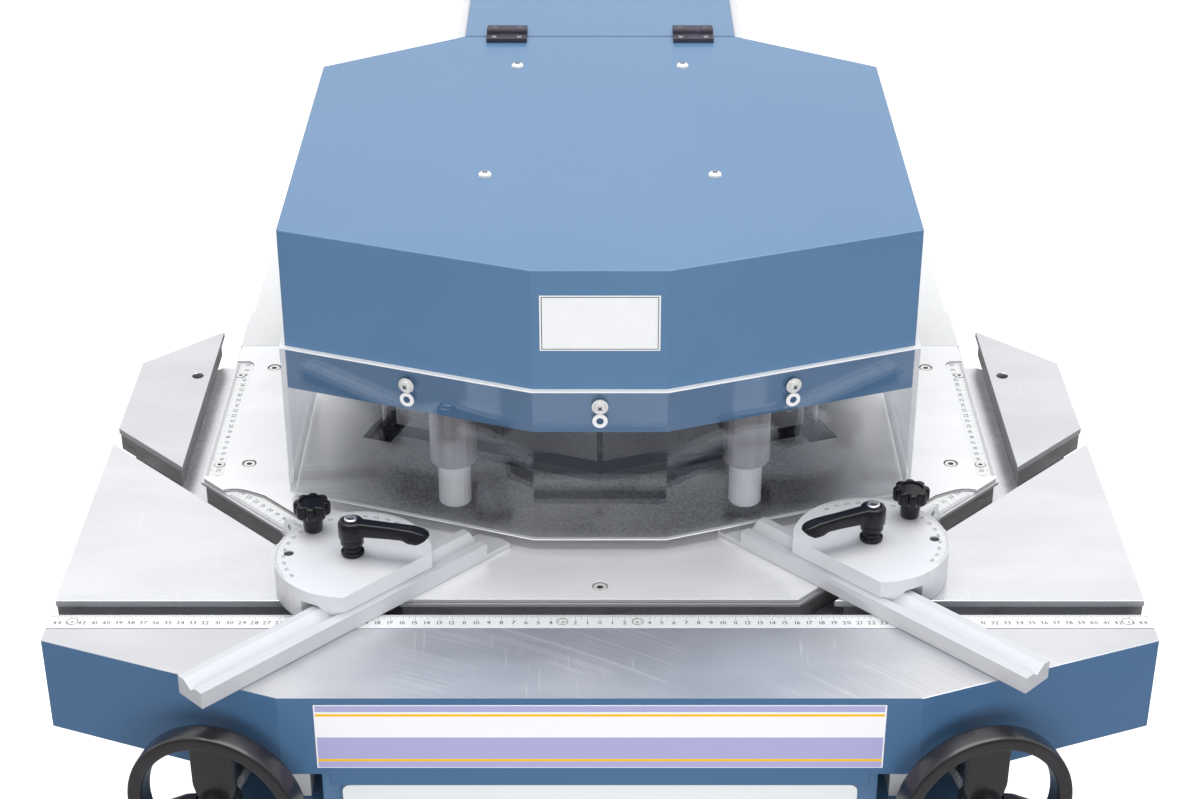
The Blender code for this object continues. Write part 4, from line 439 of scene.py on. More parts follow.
def moulded(name, colour, roughness, grain=0.00003, scale=500.0, coat=0.0):
    """Moulded black plastic with a fine sparked texture and faint wear."""
    finish = Finish(name, Coat_Weight=coat, Coat_Roughness=0.20, Specular_IOR_Level=0.32)
    wear = finish.noise(30.0, 4.0, 0.6)
    finish.set(Base_Color=finish.mix(wear.between(0.45, 0.75), colour, tuple(c * 1.7 for c in colour)),
               Roughness=roughness + 0.14 * (wear - 0.5))
    return finish.bump(finish.noise(scale, 2.0), grain).material


def plain(name, colour, roughness=0.5, metallic=0.0):
    """Printed marks, painted shade and small bright pieces: a near-even colour with a trace of unevenness."""
    finish = Finish(name, Metallic=metallic)
    cloud = finish.noise(80.0, 2.0)
    finish.set(Base_Color=finish.mix(cloud, tuple(c * 0.94 for c in colour), colour), Roughness=roughness + 0.06 * (cloud - 0.5))
    return finish.material


def under_hood(finish):
    """Oily, unpolished ground behind the guard, also painted darker for the shade under the hood: 1 inside it, fading
    to 0 towards its side walls.
    """
    x, y = abs(finish.axis("X")), finish.axis("Y") - MIDDLE
    side = 0.268 - x
    front = y - 0.1105 - 0.36 * (x - 0.0555).most(0.0)
    return side.between(0.020, 0.100) * front.between(-0.002, 0.030)


BLUE = (0.080, 0.192, 0.360)
# The apron's blue: the hood's paint, darkened as painted shade.
SHADED_APRON_BLUE = (0.056, 0.145, 0.290)
blue_paint = paint("blue_paint", BLUE)
grey_paint = paint("grey_paint", (0.66, 0.67, 0.69), 0.4)
door_paint = paint("door_paint", (0.86, 0.88, 0.90), 0.3)
deck_paint = paint("deck_paint", (0.78, 0.79, 0.80), 0.42)
steel_plate = ground("ground_plate", (0.92, 0.925, 0.945), metallic=0.35, dull_and_shaded=under_hood)
steel_wing = ground("ground_wing", (0.80, 0.81, 0.84), 0.20, 0.5)
steel_side = ground("ground_side_plate", (0.72, 0.73, 0.76), 0.22, 0.9)
steel_base = ground("ground_base", (0.78, 0.785, 0.81), 0.3, 0.0, (0.18, 0.17, 0.175), dull_and_shaded=under_hood)
steel_bed = ground("ground_bed", (0.84, 0.845, 0.87), 0.24, 0.0, (0.10, 0.10, 0.105), swirl=(0.9, 0.4, 0.6))
steel_dark = satin_metal("blued_steel", (0.20, 0.205, 0.22), 0.4)
steel_worn = satin_metal("worn_steel", (0.42, 0.41, 0.43), 0.36, 0.6)
steel_bright = satin_metal("turned_steel", (0.72, 0.73, 0.75), 0.28)
alu = satin_metal("matt_aluminium", (0.72, 0.73, 0.765), 0.5, 0.2, 0.00002)
alu_bar = satin_metal("drawn_aluminium", (0.60, 0.61, 0.645), 0.5, 0.2, 0.00002)
rule_face = satin_metal("rule_face", (0.86, 0.87, 0.88), 0.38, 0.3)
black_gloss = moulded("black_plastic", (0.008, 0.008, 0.011), 0.20, 0.00001, 300.0)
black_matt = moulded("black_wheel", (0.013, 0.011, 0.013), 0.30, 0.00004, 420.0, 0.7)
black_hinge = moulded("black_hinge", (0.036, 0.034, 0.050), 0.45)
ink_and_shadow = plain("ink_and_shadow", (0.025, 0.025, 0.03), 0.55)
white_print = plain("white_print", (0.90, 0.91, 0.93), 0.45)
screw_steel = satin_metal("zinc_screw", (0.88, 0.88, 0.87), 0.26, 0.4)
# Painted shade for recess floors, cross slots, hole floors and the gap line round countersunk heads.
gap_and_recess_shade = plain("gap_and_recess_shade", (0.06, 0.06, 0.065), 0.5, 0.6)


def table_finish():
    """Ground top over a painted blue apron, whose blue is darkened as painted shade."""
    def painted(finish):
        cloud = finish.noise(4.0, 3.0)
        return finish.mix(cloud, tuple(c * 0.94 for c in SHADED_APRON_BLUE), tuple(c + (1 - c) * 0.02 for c in SHADED_APRON_BLUE))

    def handled(finish):
        """Darker, bluer middle stretch of the top, fading out between 0.115 and 0.205 to either side."""
        reach = abs(finish.axis("X")).between(0.115, 0.205)
        return (1 - reach) * (0.55 + 0.45 * finish.noise(6.0, 3.0).between(0.35, 0.65))

    return ground("ground_table", (0.63, 0.635, 0.66), 0.32, 0.0, swirl=(-0.5, -1.3, 0.9), middle_tint=handled,
                  top=lambda finish: finish.axis("Z") > TOP - 0.0006, flank=painted)


def guard_finish():
    """Clear acrylic: part see-through, part mirror, more so where it is seen at a slant."""
    finish = Finish("clear_guard", Metallic=1.0)
    slant = finish.node("ShaderNodeFresnel", {}, {"IOR": 1.40})
    smear = finish.noise(9.0, 3.0).between(0.45, 0.75)
    finish.set(Base_Color=(0.78, 0.82, 0.90), Roughness=0.004 + 0.008 * smear, Alpha=0.065 + 0.50 * slant + 0.02 * smear)
    return finish.material


def rear_panel(finish, body):
    """The screwed-on rear panel of the cabinet: a fine seam round it, and six screw heads inside the seam."""
    rear = finish.axis("Y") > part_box("cabinet")[1].y - 0.002
    across, height = abs(finish.axis("X")), finish.axis("Z")
    seam = abs((across - 0.255).most(abs(height - 0.41) - 0.33)) < 0.0008
    drop = abs(abs(height - 0.41) - 0.155) - 0.155
    reach = ((across - 0.240) * (across - 0.240) + drop * drop) ** 0.5
    head = (reach < 0.0058) * (reach > 0.0014)
    body = finish.mix(rear * seam, body, (0.012, 0.028, 0.055))
    body = finish.mix(rear * (reach < 0.0066), body, (0.03, 0.06, 0.11))
    return finish.mix(rear * head, body, (0.55, 0.56, 0.58))


NODE_FINISH = {
    "hood": blue_paint, "rear_cover": blue_paint, "cabinet": paint("cabinet_paint", BLUE, over=rear_panel), "c_frame": grey_paint, "rear_deck": deck_paint,
    "front_door": door_paint, "centre_plate": steel_plate, "ram": steel_bright, "centre_base": steel_base,
    "cylinder_barrel": steel_dark, "sector_pivot": steel_dark, "table_bed": steel_bed, "front_rule": rule_face,
    "front_table": table_finish(), "guard": guard_finish(), "oil_tank": paint("tank_paint", (0.16, 0.165, 0.175), 0.5),
    "pump_motor": paint("motor_paint", (0.16, 0.165, 0.175), 0.45), "pressure_pipe": steel_bright,
}
SIDE_FINISH = {
    "wing_plate": steel_wing, "rear_side_plate": steel_side, "lower_blade": steel_bright, "upper_blade": steel_bright,
    "link_post": steel_bright, "worm_shaft": steel_bright, "blade_sector": steel_dark, "upper_holder": steel_dark,
    "hold_down_barrel": steel_worn, "gauge_slider": steel_bright, "side_rule": rule_face, "diagonal_rule": rule_face,
    "gauge_disc": alu, "fence_bar": alu_bar, "hold_down": alu, "handwheel": black_matt, "clamp_lever": black_gloss,
    "star_knob": black_gloss, "hinge_fixed": black_hinge, "hinge_moving": black_hinge, "gusset": grey_paint,
}
for word in SIDES:
    NODE_FINISH.update({word + "_" + kind: finish for kind, finish in SIDE_FINISH.items()})
for name, obj in NODES.items():
    obj.data.materials.clear()
    obj.data.materials.append(NODE_FINISH[name])

# Rounded edges on the solids that show their edges
EDGE_ROUNDING = {
    "hood": 0.0012, "rear_cover": 0.0012, "front_table": 0.0008, "rear_deck": 0.0015, "c_frame": 0.001,
    "cabinet": 0.0015, "centre_plate": 0.0003,
}
SIDE_ROUNDING = {
    "wing_plate": 0.0006, "rear_side_plate": 0.0006, "gauge_disc": 0.0005, "fence_bar": 0.0003, "hold_down": 0.0004,
    "upper_holder": 0.0006, "gusset": 0.0006, "upper_blade": 0.0002, "lower_blade": 0.0002,
}
for word in SIDES:
    EDGE_ROUNDING.update({word + "_" + kind: width for kind, width in SIDE_ROUNDING.items()})
for name, width in EDGE_ROUNDING.items():
    soften(NODES[name], width, 2, weld=True)


# ---------------------------------------------------------------- screws

def pan_screw(name, centre, out, body, radius=0.0052, height=0.0030, washer=0.0):
    """A pan-head cross screw: a low dome with a cross recess drawn as dark bars of painted shade, on a washer where one
    is asked for.
    """
    out = np.asarray(out, float) / np.linalg.norm(out)
    parts = []
    lift = 0.0
    if washer:
        parts.append(lathe(name + "_washer", [(0, 0.0009), (washer, 0.0009), (washer, 0)], centre, out, 28))
        lift = 0.0009
    turn = np.linspace(0, math.pi / 2, 7)
    profile = np.column_stack([radius * np.sin(turn) ** 0.8, lift + height * np.cos(turn) ** 0.7])
    profile[0, 0] = 0.00001
    parts.append(lathe(name + "_head", np.vstack([profile, [(radius, 0)]]), centre, out, 24))
    dressed(name, joined(name, parts), body, screw_steel)
    side = np.cross(out, (1, 0, 0))
    side /= np.linalg.norm(side)
    other = np.cross(out, side)
    # The cross recess: dark bars of painted shade laid on the dome.
    bars = []
    for i, angle in enumerate((0.8, 0.8 + math.pi / 2)):
        along = math.cos(angle) * side + math.sin(angle) * other
        across = np.cross(out, along)
        bars.append(panel(name + "_slot", centre + out * (lift + height * 0.96), along, across, radius * 0.85, radius * 0.20,
                          0.0003 + 0.00002 * i))
    dressed(name + "_cross", joined(name + "_cross", bars), body, gap_and_recess_shade)


def socket_screw(name, x, y, z, body, radius=0.0058, depth=0.0010, key=0.0026, foot=None):
    """A countersunk socket screw: a flat ring with a six-sided recess floored with painted shade, and a painted shadow
    line where it meets its plate.
    """
    foot = -0.0002 if foot is None else foot - z
    centre = at(x, y, z)
    profile = [(key, -0.0002), (key + 0.0002, 0), (radius - 0.0004, 0), (radius, -0.0004), (radius, -depth)]
    turn = np.linspace(0, TAU, 30, endpoint=False)
    hexagon = key / np.cos((turn + math.pi / 6) % (math.pi / 3) - math.pi / 6)
    rings = []
    for i, (r, h) in enumerate(profile):
        reach = hexagon if i == 0 else np.maximum(hexagon + 0.0002, r) if i == 1 else np.full_like(turn, r)
        rings.append(np.stack([reach * np.cos(turn), reach * np.sin(turn), np.full_like(turn, h)], -1) + centre)
    well = np.stack([hexagon * np.cos(turn), hexagon * np.sin(turn), np.full_like(turn, -depth)], -1) + centre
    dressed(name, grid(name, np.array([well] + rings), wrap_columns=True, smooth=False, caps=True), body, screw_steel)
    # Painted shade on the recess floor, and a ring of painted shadow round the head's foot.
    floor = lathe(name + "_recess", [(0.00001, -depth + 0.0003), (key * 0.98, -depth + 0.0003), (key * 0.98, -depth)], centre, (0, 0, 1), 6)
    seat = [(radius, foot - 0.0003), (radius + 0.0001, foot + 0.00005), (radius + 0.0006, foot + 0.00005), (radius + 0.0007, foot - 0.0003)]
    seat = lathe(name + "_seat", seat + seat[:1], centre, (0, 0, 1), 40, False)
    dressed(name + "_recess", joined(name + "_recess", [floor, seat]), body, gap_and_recess_shade)


HOOD_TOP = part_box("hood")[1].z - TOP
for side, word in ((-1, "left"), (1, "right")):
    pan_screw(word + "_hood_screw_rear", at(side * 0.080, 0.561, HOOD_TOP), (0, 0, 1), "hood", 0.0060, 0.0034)
    pan_screw(word + "_hood_screw_front", at(side * 0.100, 0.299, HOOD_TOP), (0, 0, 1), "hood", 0.0060, 0.0034)
    for place, (x, y) in {"front": (0.318, 0.250), "rear": (0.318, 0.432)}.items():
        socket_screw(f"{word}_plate_screw_{place}", side * x, y, -0.0004, "machine", 0.0054, 0.0010, 0.0024)
    for place, (x, y) in {"front": (0.345, 0.250), "rear": (0.349, 0.419)}.items():
        socket_screw(f"{word}_side_rule_screw_{place}", side * x, y, -0.0012, "machine", 0.0044, 0.0008, 0.0019, -0.0018)
    for place, x in {"inner": 0.0306, "outer": 0.428}.items():
        socket_screw(f"{word}_front_rule_screw_{place}", side * x, 0.0, 0.0002, "machine", 0.0042, 0.0008, 0.0019, 0.0)
socket_screw("centre_plate_screw", 0.0, 0.051, -0.0004, "machine")

HINGE_LEAF_TOP, HINGE_LINE = HOOD_TOP + 0.0043, 0.645
for word, side in SIDES.items():
    for kind, way, body in (("moving", -1, "hood"), ("fixed", 1, "machine")):
        heads, crosses = [], []
        for x in (side * 0.093 - 0.0125, side * 0.093 + 0.0125):
            spot = at(x, HINGE_LINE + way * 0.0125, HINGE_LEAF_TOP - 0.0001)
            heads.append(lathe("head", [(0.00001, 0.0003), (0.0018, 0.0003), (0.0026, 0.0001), (0.0027, 0.0)], spot, steps=24))
            # Cross recesses as dark bars of painted shade.
            crosses += [panel("bar", spot + (0, 0, 0.0003), (c, s, 0), (-s, c, 0), 0.0026, 0.0006, 0.0001)
                        for c, s in ((0.6, 0.8), (-0.8, 0.6))]
        name = f"{word}_hinge_{kind}_screws"
        dressed(name, joined(name, heads), body, steel_worn)
        dressed(name + "_cross", joined(name + "_cross", crosses), body, gap_and_recess_shade)

seam = panel("hood_seam", at(0, 0.6443, HOOD_TOP), (1, 0, 0), (0, 1, 0), 0.268, 0.0014, 0.00015)
dressed("hood_seam", seam, "hood", plain("seam_shadow", (0.02, 0.045, 0.10), 0.6))

# Guard: screws with washers, the empty holes below them drawn as dark discs of painted shade, and the sawn edges, pale
# with a painted highlight
GUARD_LOW, GUARD_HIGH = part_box("guard")
GUARD_THICK = 0.004
SHOULDER = (0.268, 0.187)
FRONT_FLAT = (0.0555, 0.1105)
slope = math.atan2(SHOULDER[1] - FRONT_FLAT[1], SHOULDER[0] - FRONT_FLAT[0])
GUARD_OUT = 0.0003 + GUARD_THICK


def on_guard(x, z):
    """The point on the guard's outer face at a given X and height, and the face's outward direction."""
    if abs(x) <= FRONT_FLAT[0]:
        return at(x, FRONT_FLAT[1] - GUARD_OUT, z), np.array((0.0, -1.0, 0.0))
    way = math.copysign(1, x)
    out = np.array((way * math.sin(slope), -math.cos(slope), 0.0))
    y = FRONT_FLAT[1] + (abs(x) - FRONT_FLAT[0]) * math.tan(slope) - GUARD_OUT / math.cos(slope)
    return at(x, y, z), out


for name, x, z in (("middle", 0.0, 0.140), ("left", -0.162, 0.139), ("right", 0.162, 0.139)):
    spot, out = on_guard(x, z)
    pan_screw("guard_screw_" + name, spot, out, "hood", 0.0052, 0.0030, 0.0068)
    low, out = on_guard(x, z - 0.0135)
    ring = lathe("guard_ring_" + name, [(0.0030, 0.0004), (0.0032, 0.0009), (0.0062, 0.0009), (0.0065, 0.0)], low, out, 28)
    dressed("guard_ring_" + name, ring, "hood", white_print)
    # The empty hole drawn as a dark disc of painted shade.
    eye = lathe("guard_hole_" + name, [(0.00001, 0.0005), (0.0031, 0.0005), (0.0031, 0.0)], low, out, 24)
    dressed("guard_hole_" + name, eye, "hood", plain("hole_" + name, (0.05, 0.10, 0.17), 0.5))


def guard_line(offset, front_y=FRONT_FLAT[1]):
    """The guard's plan path from its left end round the front to its right end, moved out by an offset."""
    tan_half = math.tan(slope / 2)
    side = SHOULDER[0] + offset
    corner_y = SHOULDER[1] - offset * math.tan((math.pi / 2 - slope) / 2)
    rear = GUARD_HIGH.y - MIDDLE
    right = [(FRONT_FLAT[0] + offset * tan_half, front_y - offset), (side, corner_y), (side, rear)]
    return [(-x, y) for x, y in right[::-1]] + right


def rim(name, z, height, inner, outer, body, slot, material):
    """A narrow band along the guard's path: a rectangle carried along it."""
    a, b = np.array(guard_line(inner)), np.array(guard_line(outer))
    rows = [np.array([at(*p, z), at(*q, z), at(*q, z + height), at(*p, z + height)]) for p, q in zip(a, b)]
    return dressed(name, grid(name, np.array(rows), wrap_columns=True, caps=True, smooth=False), body, material)


# Pale bands over the guard's top and bottom sawn edges: a painted highlight where the clear sheet's edges catch the
# light.
sawn_edge_highlight = plain("sawn_acrylic_highlight", (0.95, 0.96, 0.97), 0.35)
guard_top = GUARD_HIGH.z - TOP
guard_low = GUARD_LOW.z - TOP
rim("guard_top_edge", guard_top - 0.0011, 0.0014, 0.0002, GUARD_OUT + 0.0002, "hood", "clear_guard", sawn_edge_highlight)
rim("guard_bottom_edge", guard_low - 0.0002, 0.0009, 0.0010, GUARD_OUT + 0.0002, "hood", "clear_guard", sawn_edge_highlight)

# Blank label on the hood front, with a thin printed border
label_y = FRONT_FLAT[1] - 0.0001
label = panel("hood_label", at(0, label_y, 0.215), (1, 0, 0), (0, 0, 1), 0.098, 0.050, 0.0003)
dressed("hood_label", label, "hood", white_print)
border = []
for x, z, w, h in ((0, 0.2385, 0.095, 0.0006), (0, 0.1915, 0.095, 0.0006), (-0.0472, 0.215, 0.0006, 0.0474), (0.0472, 0.215, 0.0006, 0.0474)):
    border.append(panel("label_border", at(x, label_y - 0.0003, z), (1, 0, 0), (0, 0, 1), w, h, 0.0001))
dressed("hood_label_border", joined("hood_label_border", border), "hood", ink_and_shadow)


# ---------------------------------------------------------------- rules

def front_rule_marks():
    """Millimetre lines along the rule's rear edge, longer each five and ten, with centimetre numbers below them."""
    marks, labels = [], []
    edge = RULE_HIGH.y - MIDDLE - 0.0002
    lift = 0.00006
    for mm in range(-446, 447):
        length = 0.0068 if mm % 10 == 0 else 0.0048 if mm % 5 == 0 else 0.0030
        marks.append((at(mm / 1000, edge, lift), (0, -1, 0), (1, 0, 0), length, 0.00022))
    for cm in range(-44, 45):
        labels.append((str(abs(cm)), at(cm / 100, -0.0018, lift), (1, 0, 0), (0, 1, 0), 0.0046))
    dressed("front_rule_lines", ticks("front_rule_lines", marks), "machine", ink_and_shadow)
    dressed("front_rule_numbers", figures("front_rule_numbers", labels), "machine", ink_and_shadow)


def side_rule_marks(word, side):
    """Lines along the rule's outer edge, with numbers that climb towards the back."""
    low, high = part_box(word + "_side_rule")
    outer = max(abs(low.x), abs(high.x))
    z = high.z - TOP + 0.00006
    marks, labels = [], []
    start, end = low.y - MIDDLE, high.y - MIDDLE
    for mm in range(int(start * 1000) + 2, int(end * 1000) - 1):
        length = 0.0066 if mm % 10 == 0 else 0.0046 if mm % 5 == 0 else 0.0029
        marks.append((at(side * (outer - 0.0002), mm / 1000, z), (-side, 0, 0), (0, 1, 0), length, 0.00022))
        if mm % 10 == 0:
            labels.append((str(mm // 10 - 12), at(side * (outer - 0.0108), mm / 1000, z), (0, side, 0), (-side, 0, 0), 0.0040))
    dressed(word + "_side_rule_lines", ticks(word + "_side_rule_lines", marks), "machine", ink_and_shadow)
    dressed(word + "_side_rule_numbers", figures(word + "_side_rule_numbers", labels), "machine", ink_and_shadow)


def diagonal_rule_marks(word, side):
    """Lines along the slot edge of the diagonal rule, with numbers inside them."""
    low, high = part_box(word + "_diagonal_rule")
    z = high.z - TOP + 0.00006
    q = math.sqrt(0.5)
    offset = 0.1349 - 0.0022 * math.sqrt(2)
    start = low.y - MIDDLE + 0.018
    along, inward = np.array((side * q, q, 0)), np.array((-side * q, q, 0))
    marks, labels = [], []
    for mm in range(0, 166):
        y = start + mm / 1000 * q
        spot = at(side * (y + offset), y, z) + inward * 0.0003
        length = 0.0066 if mm % 10 == 0 else 0.0046 if mm % 5 == 0 else 0.0029
        marks.append((spot, inward, along, length, 0.00022))
        if mm % 10 == 0 and mm:
            labels.append((str(mm // 10 + 8), spot + inward * 0.0105, along * side, inward * 1.0, 0.0040))
    dressed(word + "_diagonal_rule_lines", ticks(word + "_diagonal_rule_lines", marks), "machine", ink_and_shadow)
    dressed(word + "_diagonal_rule_numbers", figures(word + "_diagonal_rule_numbers", labels), "machine", ink_and_shadow)


def ribbon(path, width, z, side):
    """A flat strip on the left of a path of (x, y) points, mirrored for the left side."""
    path = np.array(path, float)
    along = np.gradient(path, axis=0)
    along /= np.linalg.norm(along, axis=1)[:, None]
    edge = path + width * np.stack([-along[:, 1], along[:, 0]], -1)
    rows = [[at(side * x, y, z) for x, y in line] for line in (path, edge)]
    return grid("ribbon", np.array(rows if side < 0 else rows[::-1]), smooth=False)


def pocket_edges(word, side):
    """Painted shadow line round the diagonal rule's pocket, where its wall shades the floor: its S-shaped rear end, y =
    rise + hump, then its inner edge.
    """
    meeting, setback, bend = 0.2085, 0.0062, 0.009
    outer = 0.1349 - 0.0022 * math.sqrt(2)
    inner = outer - 0.0192 * math.sqrt(2)
    rear = meeting - setback
    share = np.linspace(0, 1, 15)
    start, end = np.array((rear - bend + inner, rear - bend)), np.array((rear + outer, rear))
    hump = bend * 2 * share * (1 - share) + (end[1] - start[1]) * share * share * (3 - 2 * share)
    curve = np.stack([start[0] + (end[0] - start[0]) * share, start[1] + hump], -1)
    run = np.linspace(0, 1, 12)[:-1, None]
    foot = np.array((0.062 + inner + 0.0137, 0.062 + 0.0137))
    path = np.vstack([foot + (start - foot) * run, curve])
    # A dark strip of painted shadow laid on the plate along the pocket's edge.
    strip = ribbon(path, 0.0013, 0.00008, side)
    dressed(word + "_pocket_shadow_line", strip, "machine", ink_and_shadow)


front_rule_marks()
for word, side in SIDES.items():
    side_rule_marks(word, side)
    diagonal_rule_marks(word, side)
    pocket_edges(word, side)

# ---------------------------------------------------------------- banner

BANNER_STRIPES = ((0.000, 0.108, "lavender"), (0.108, 0.138, "white"), (0.138, 0.178, "yellow"), (0.178, 0.509, "white"),
                  (0.509, 0.853, "lavender"), (0.853, 0.893, "yellow"), (0.893, 1.000, "lavender"))


def banner_finish():
    """A bare printed strip: plain bands of lavender, white and yellow, worked out from the height alone."""
    finish = Finish("banner_print", Roughness=0.35, Coat_Weight=0.2)
    colours = {"lavender": (0.42, 0.41, 0.68), "white": (0.93, 0.925, 0.96), "yellow": (0.92, 0.56, 0.02)}
    depth = (TOP - 0.006 - finish.axis("Z")) / 0.061
    shade = colours["lavender"]
    for low, high, kind in BANNER_STRIPES[1:]:
        inside = (depth > low) * (depth < high)
        shade = finish.mix(inside, shade, colours[kind])
    border = (abs(finish.axis("X")) - 0.2208).most(abs(depth - 0.5) * 0.061 - 0.0298) > 0
    finish.set(Base_Color=finish.mix(border, shade, colours["white"]))
    return finish.material


table_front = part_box("front_table")[0].y - MIDDLE
banner = panel("front_banner", at(0, table_front - 0.0001, -0.0365), (1, 0, 0), (0, 0, 1), 0.444, 0.061, 0.0006)
dressed("front_banner", banner, "machine", banner_finish(), 0.0002, 1)


# ---------------------------------------------------------------- gauges

def gauge_scale(word, side):
    """Angle lines and numbers along the round edge of a gauge disc."""
    low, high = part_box(word + "_gauge_disc")
    pivot = np.array(frame_joint(word + "_gauge_swivel")["pos_m"], float)
    z = high.z + 0.00005
    outward = math.atan2(1, side)
    marks, labels = [], []
    for degree in range(-80, 81):
        angle = outward + math.radians(degree)
        way = np.array((math.cos(angle), math.sin(angle), 0))
        across = np.array((-math.sin(angle), math.cos(angle), 0))
        length = 0.0042 if degree % 10 == 0 else 0.0030 if degree % 5 == 0 else 0.0018
        spot = np.array((pivot[0], pivot[1], z)) + way * 0.0643
        marks.append((spot, -way, across, length, 0.00018))
        if degree % 10 == 0:
            labels.append((str(abs(degree)), spot - way * 0.0072, -across, way, 0.0030))
    dressed(word + "_gauge_lines", ticks(word + "_gauge_lines", marks), word + "_gauge", ink_and_shadow)
    dressed(word + "_gauge_numbers", figures(word + "_gauge_numbers", labels), word + "_gauge", ink_and_shadow)


def frame_joint(name):
    return next(joint for joint in frame["joints"] if joint["name"] == name)


def index_hole(word, side):
    """Painted shade: a dark floor just below the mouth of a gauge's index hole."""
    pivot = np.array(frame_joint(word + "_gauge_swivel")["pos_m"], float)
    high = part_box(word + "_gauge_disc")[1]
    mouth = np.array((pivot[0] + side * 0.053, pivot[1], high.z - 0.0012))
    floor = lathe(word + "_index_hole", [(0.00001, 0.0), (0.0041, 0.0), (0.0041, -0.0003)], mouth, steps=28)
    dressed(word + "_index_hole", floor, word + "_gauge", gap_and_recess_shade)


for word, side in SIDES.items():
    gauge_scale(word, side)
    index_hole(word, side)


# ---------------------------------------------------------------- clamp levers, star knobs, handwheels

def carried(points, pivot, turn):
    """Local points put at a pivot on the table plane and turned about the upright."""
    c, s = math.cos(turn), math.sin(turn)
    x, y, z = points[..., 0], points[..., 1], points[..., 2]
    return np.stack([pivot[0] + c * x - s * y, pivot[1] + s * x + c * y, TOP + z], -1)


def clamp_lever(word, side, pivot):
    """Waisted lever: a turned hub, and a grip whose rounded-square section follows its drooping side profile."""
    node = word + "_clamp_lever"
    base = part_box(node)[0].z - TOP
    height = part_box(node)[1].z - TOP - base
    length, width, radius = 0.066, 0.0136, 0.011
    turn = math.radians(-12.4 if side < 0 else 204.6)
    profile = [(0.84, 0.0), (0.88, 0.015), (0.88, 0.085), (0.84, 0.10), (0.66, 0.115), (0.64, 0.14), (0.65, 0.21), (0.70, 0.245),
               (0.84, 0.295), (0.88, 0.315), (0.88, 0.465), (0.86, 0.480), (0.97, 0.492), (1.0, 0.51), (1.0, 0.83), (0.98, 0.885),
               (0.91, 0.93), (0.80, 0.955), (0.66, 0.965), (0.50, 0.965), (0.00001, 0.965)]
    profile = np.array([(0.00001, 0.0)] + profile) * (radius, height) + (0, base)
    steps = np.linspace(0, TAU, 36, endpoint=False)
    rings = np.stack([profile[:, :1] * np.cos(steps), profile[:, :1] * np.sin(steps), profile[:, 1:] + 0 * steps], -1)
    hub = grid("hub", carried(rings, pivot, turn), wrap_columns=True, caps=True)
    x = np.linspace(0, 1, 40) ** 0.8
    high = np.interp(x, (0, 0.05, 0.60, 0.80, 0.93, 0.99, 1.0), (0.955, 0.955, 0.945, 0.935, 0.88, 0.82, 0.78))
    low = np.interp(x, (0, 0.10, 0.67, 0.71, 0.75, 0.86, 0.95, 1.0), (0.55, 0.57, 0.615, 0.580, 0.540, 0.535, 0.64, 0.74))
    half = np.interp(x, (0, 0.1, 0.5, 0.8, 0.9, 0.97, 1.0), (0.50, 0.48, 0.42, 0.49, 0.49, 0.38, 0.18)) * width
    angle = np.linspace(0, TAU, 24, endpoint=False)
    c = np.sign(np.cos(angle)) * np.abs(np.cos(angle)) ** 0.40
    s = np.sign(np.sin(angle)) * np.abs(np.sin(angle)) ** 0.40
    middle, reach = (high + low) / 2 * height + base, (high - low) / 2 * height
    section = np.stack([length * x[:, None] + 0 * c, half[:, None] * c, middle[:, None] + reach[:, None] * s], -1)
    grip = grid("grip", carried(section, pivot, turn), wrap_columns=True, caps=True)
    lever = dressed(word + "_lever_form", joined(word + "_lever_form", [hub, grip]), word + "_lever", black_gloss)
    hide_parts(node)
    top = base + height * 0.965
    screw = [(0.0030, 0.0002), (0.0032, 0.0016), (0.0036, 0.0020), (0.0050, 0.0020), (0.0055, 0.0016), (0.0056, 0.0)]
    centre = np.array((pivot[0], pivot[1], TOP + top))
    dressed(word + "_lever_screw", lathe(word + "_lever_screw", screw, centre, steps=30), word + "_lever", steel_bright)
    # Dark disc of painted shade in the screw's socket.
    recess = lathe(word + "_lever_recess", [(0.00001, 0.0004), (0.0031, 0.0004), (0.0031, 0.0)], centre, steps=6)
    dressed(word + "_lever_recess", recess, word + "_lever", gap_and_recess_shade)


def star_knob(word, side, pivot):
    """Eight-lobed knob: a domed profile whose radius dips between the lobes, the dips deepest halfway up its side."""
    node = word + "_star_knob"
    low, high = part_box(node)
    centre = np.array(((low.x + high.x) / 2, (low.y + high.y) / 2, 0.0))
    base, top = low.z - TOP, high.z - TOP
    head = 0.0455
    radius = 0.0155
    profile = np.array([(0.0001, base), (0.0074, base), (0.0079, base + 0.0006), (0.0087, head - 0.0040), (0.0087, head - 0.0012),
                        (0.0104, head), (0.0140, head + 0.0003), (0.0150, head + 0.0012), (0.0155, head + 0.0028),
                        (0.0155, head + 0.0095), (0.0153, head + 0.0108), (0.0146, head + 0.0118), (0.0132, head + 0.0124),
                        (0.0108, head + 0.0125), (0.0098, head + 0.0124), (0.0094, head + 0.0110), (0.0001, head + 0.0110)])
    profile[:, 1] = np.minimum(profile[:, 1], top)
    depth = np.clip((profile[:, 0] - 0.0092) / (radius - 0.0092), 0, 1) * 0.0034
    turn = np.linspace(0, TAU, 192, endpoint=False)
    valley = np.clip((0.5 - 0.5 * np.cos(8 * turn) - 0.12) / 0.88, 0, 1) ** 1.5
    reach = profile[:, :1] - depth[:, None] * valley
    points = np.stack([centre[0] + reach * np.cos(turn), centre[1] + reach * np.sin(turn), TOP + profile[:, 1:] + 0 * turn], -1)
    knob = dressed(word + "_knob_form", grid(word + "_knob_form", points, wrap_columns=True, caps=True), word + "_knob",
                   black_gloss)
    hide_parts(node)


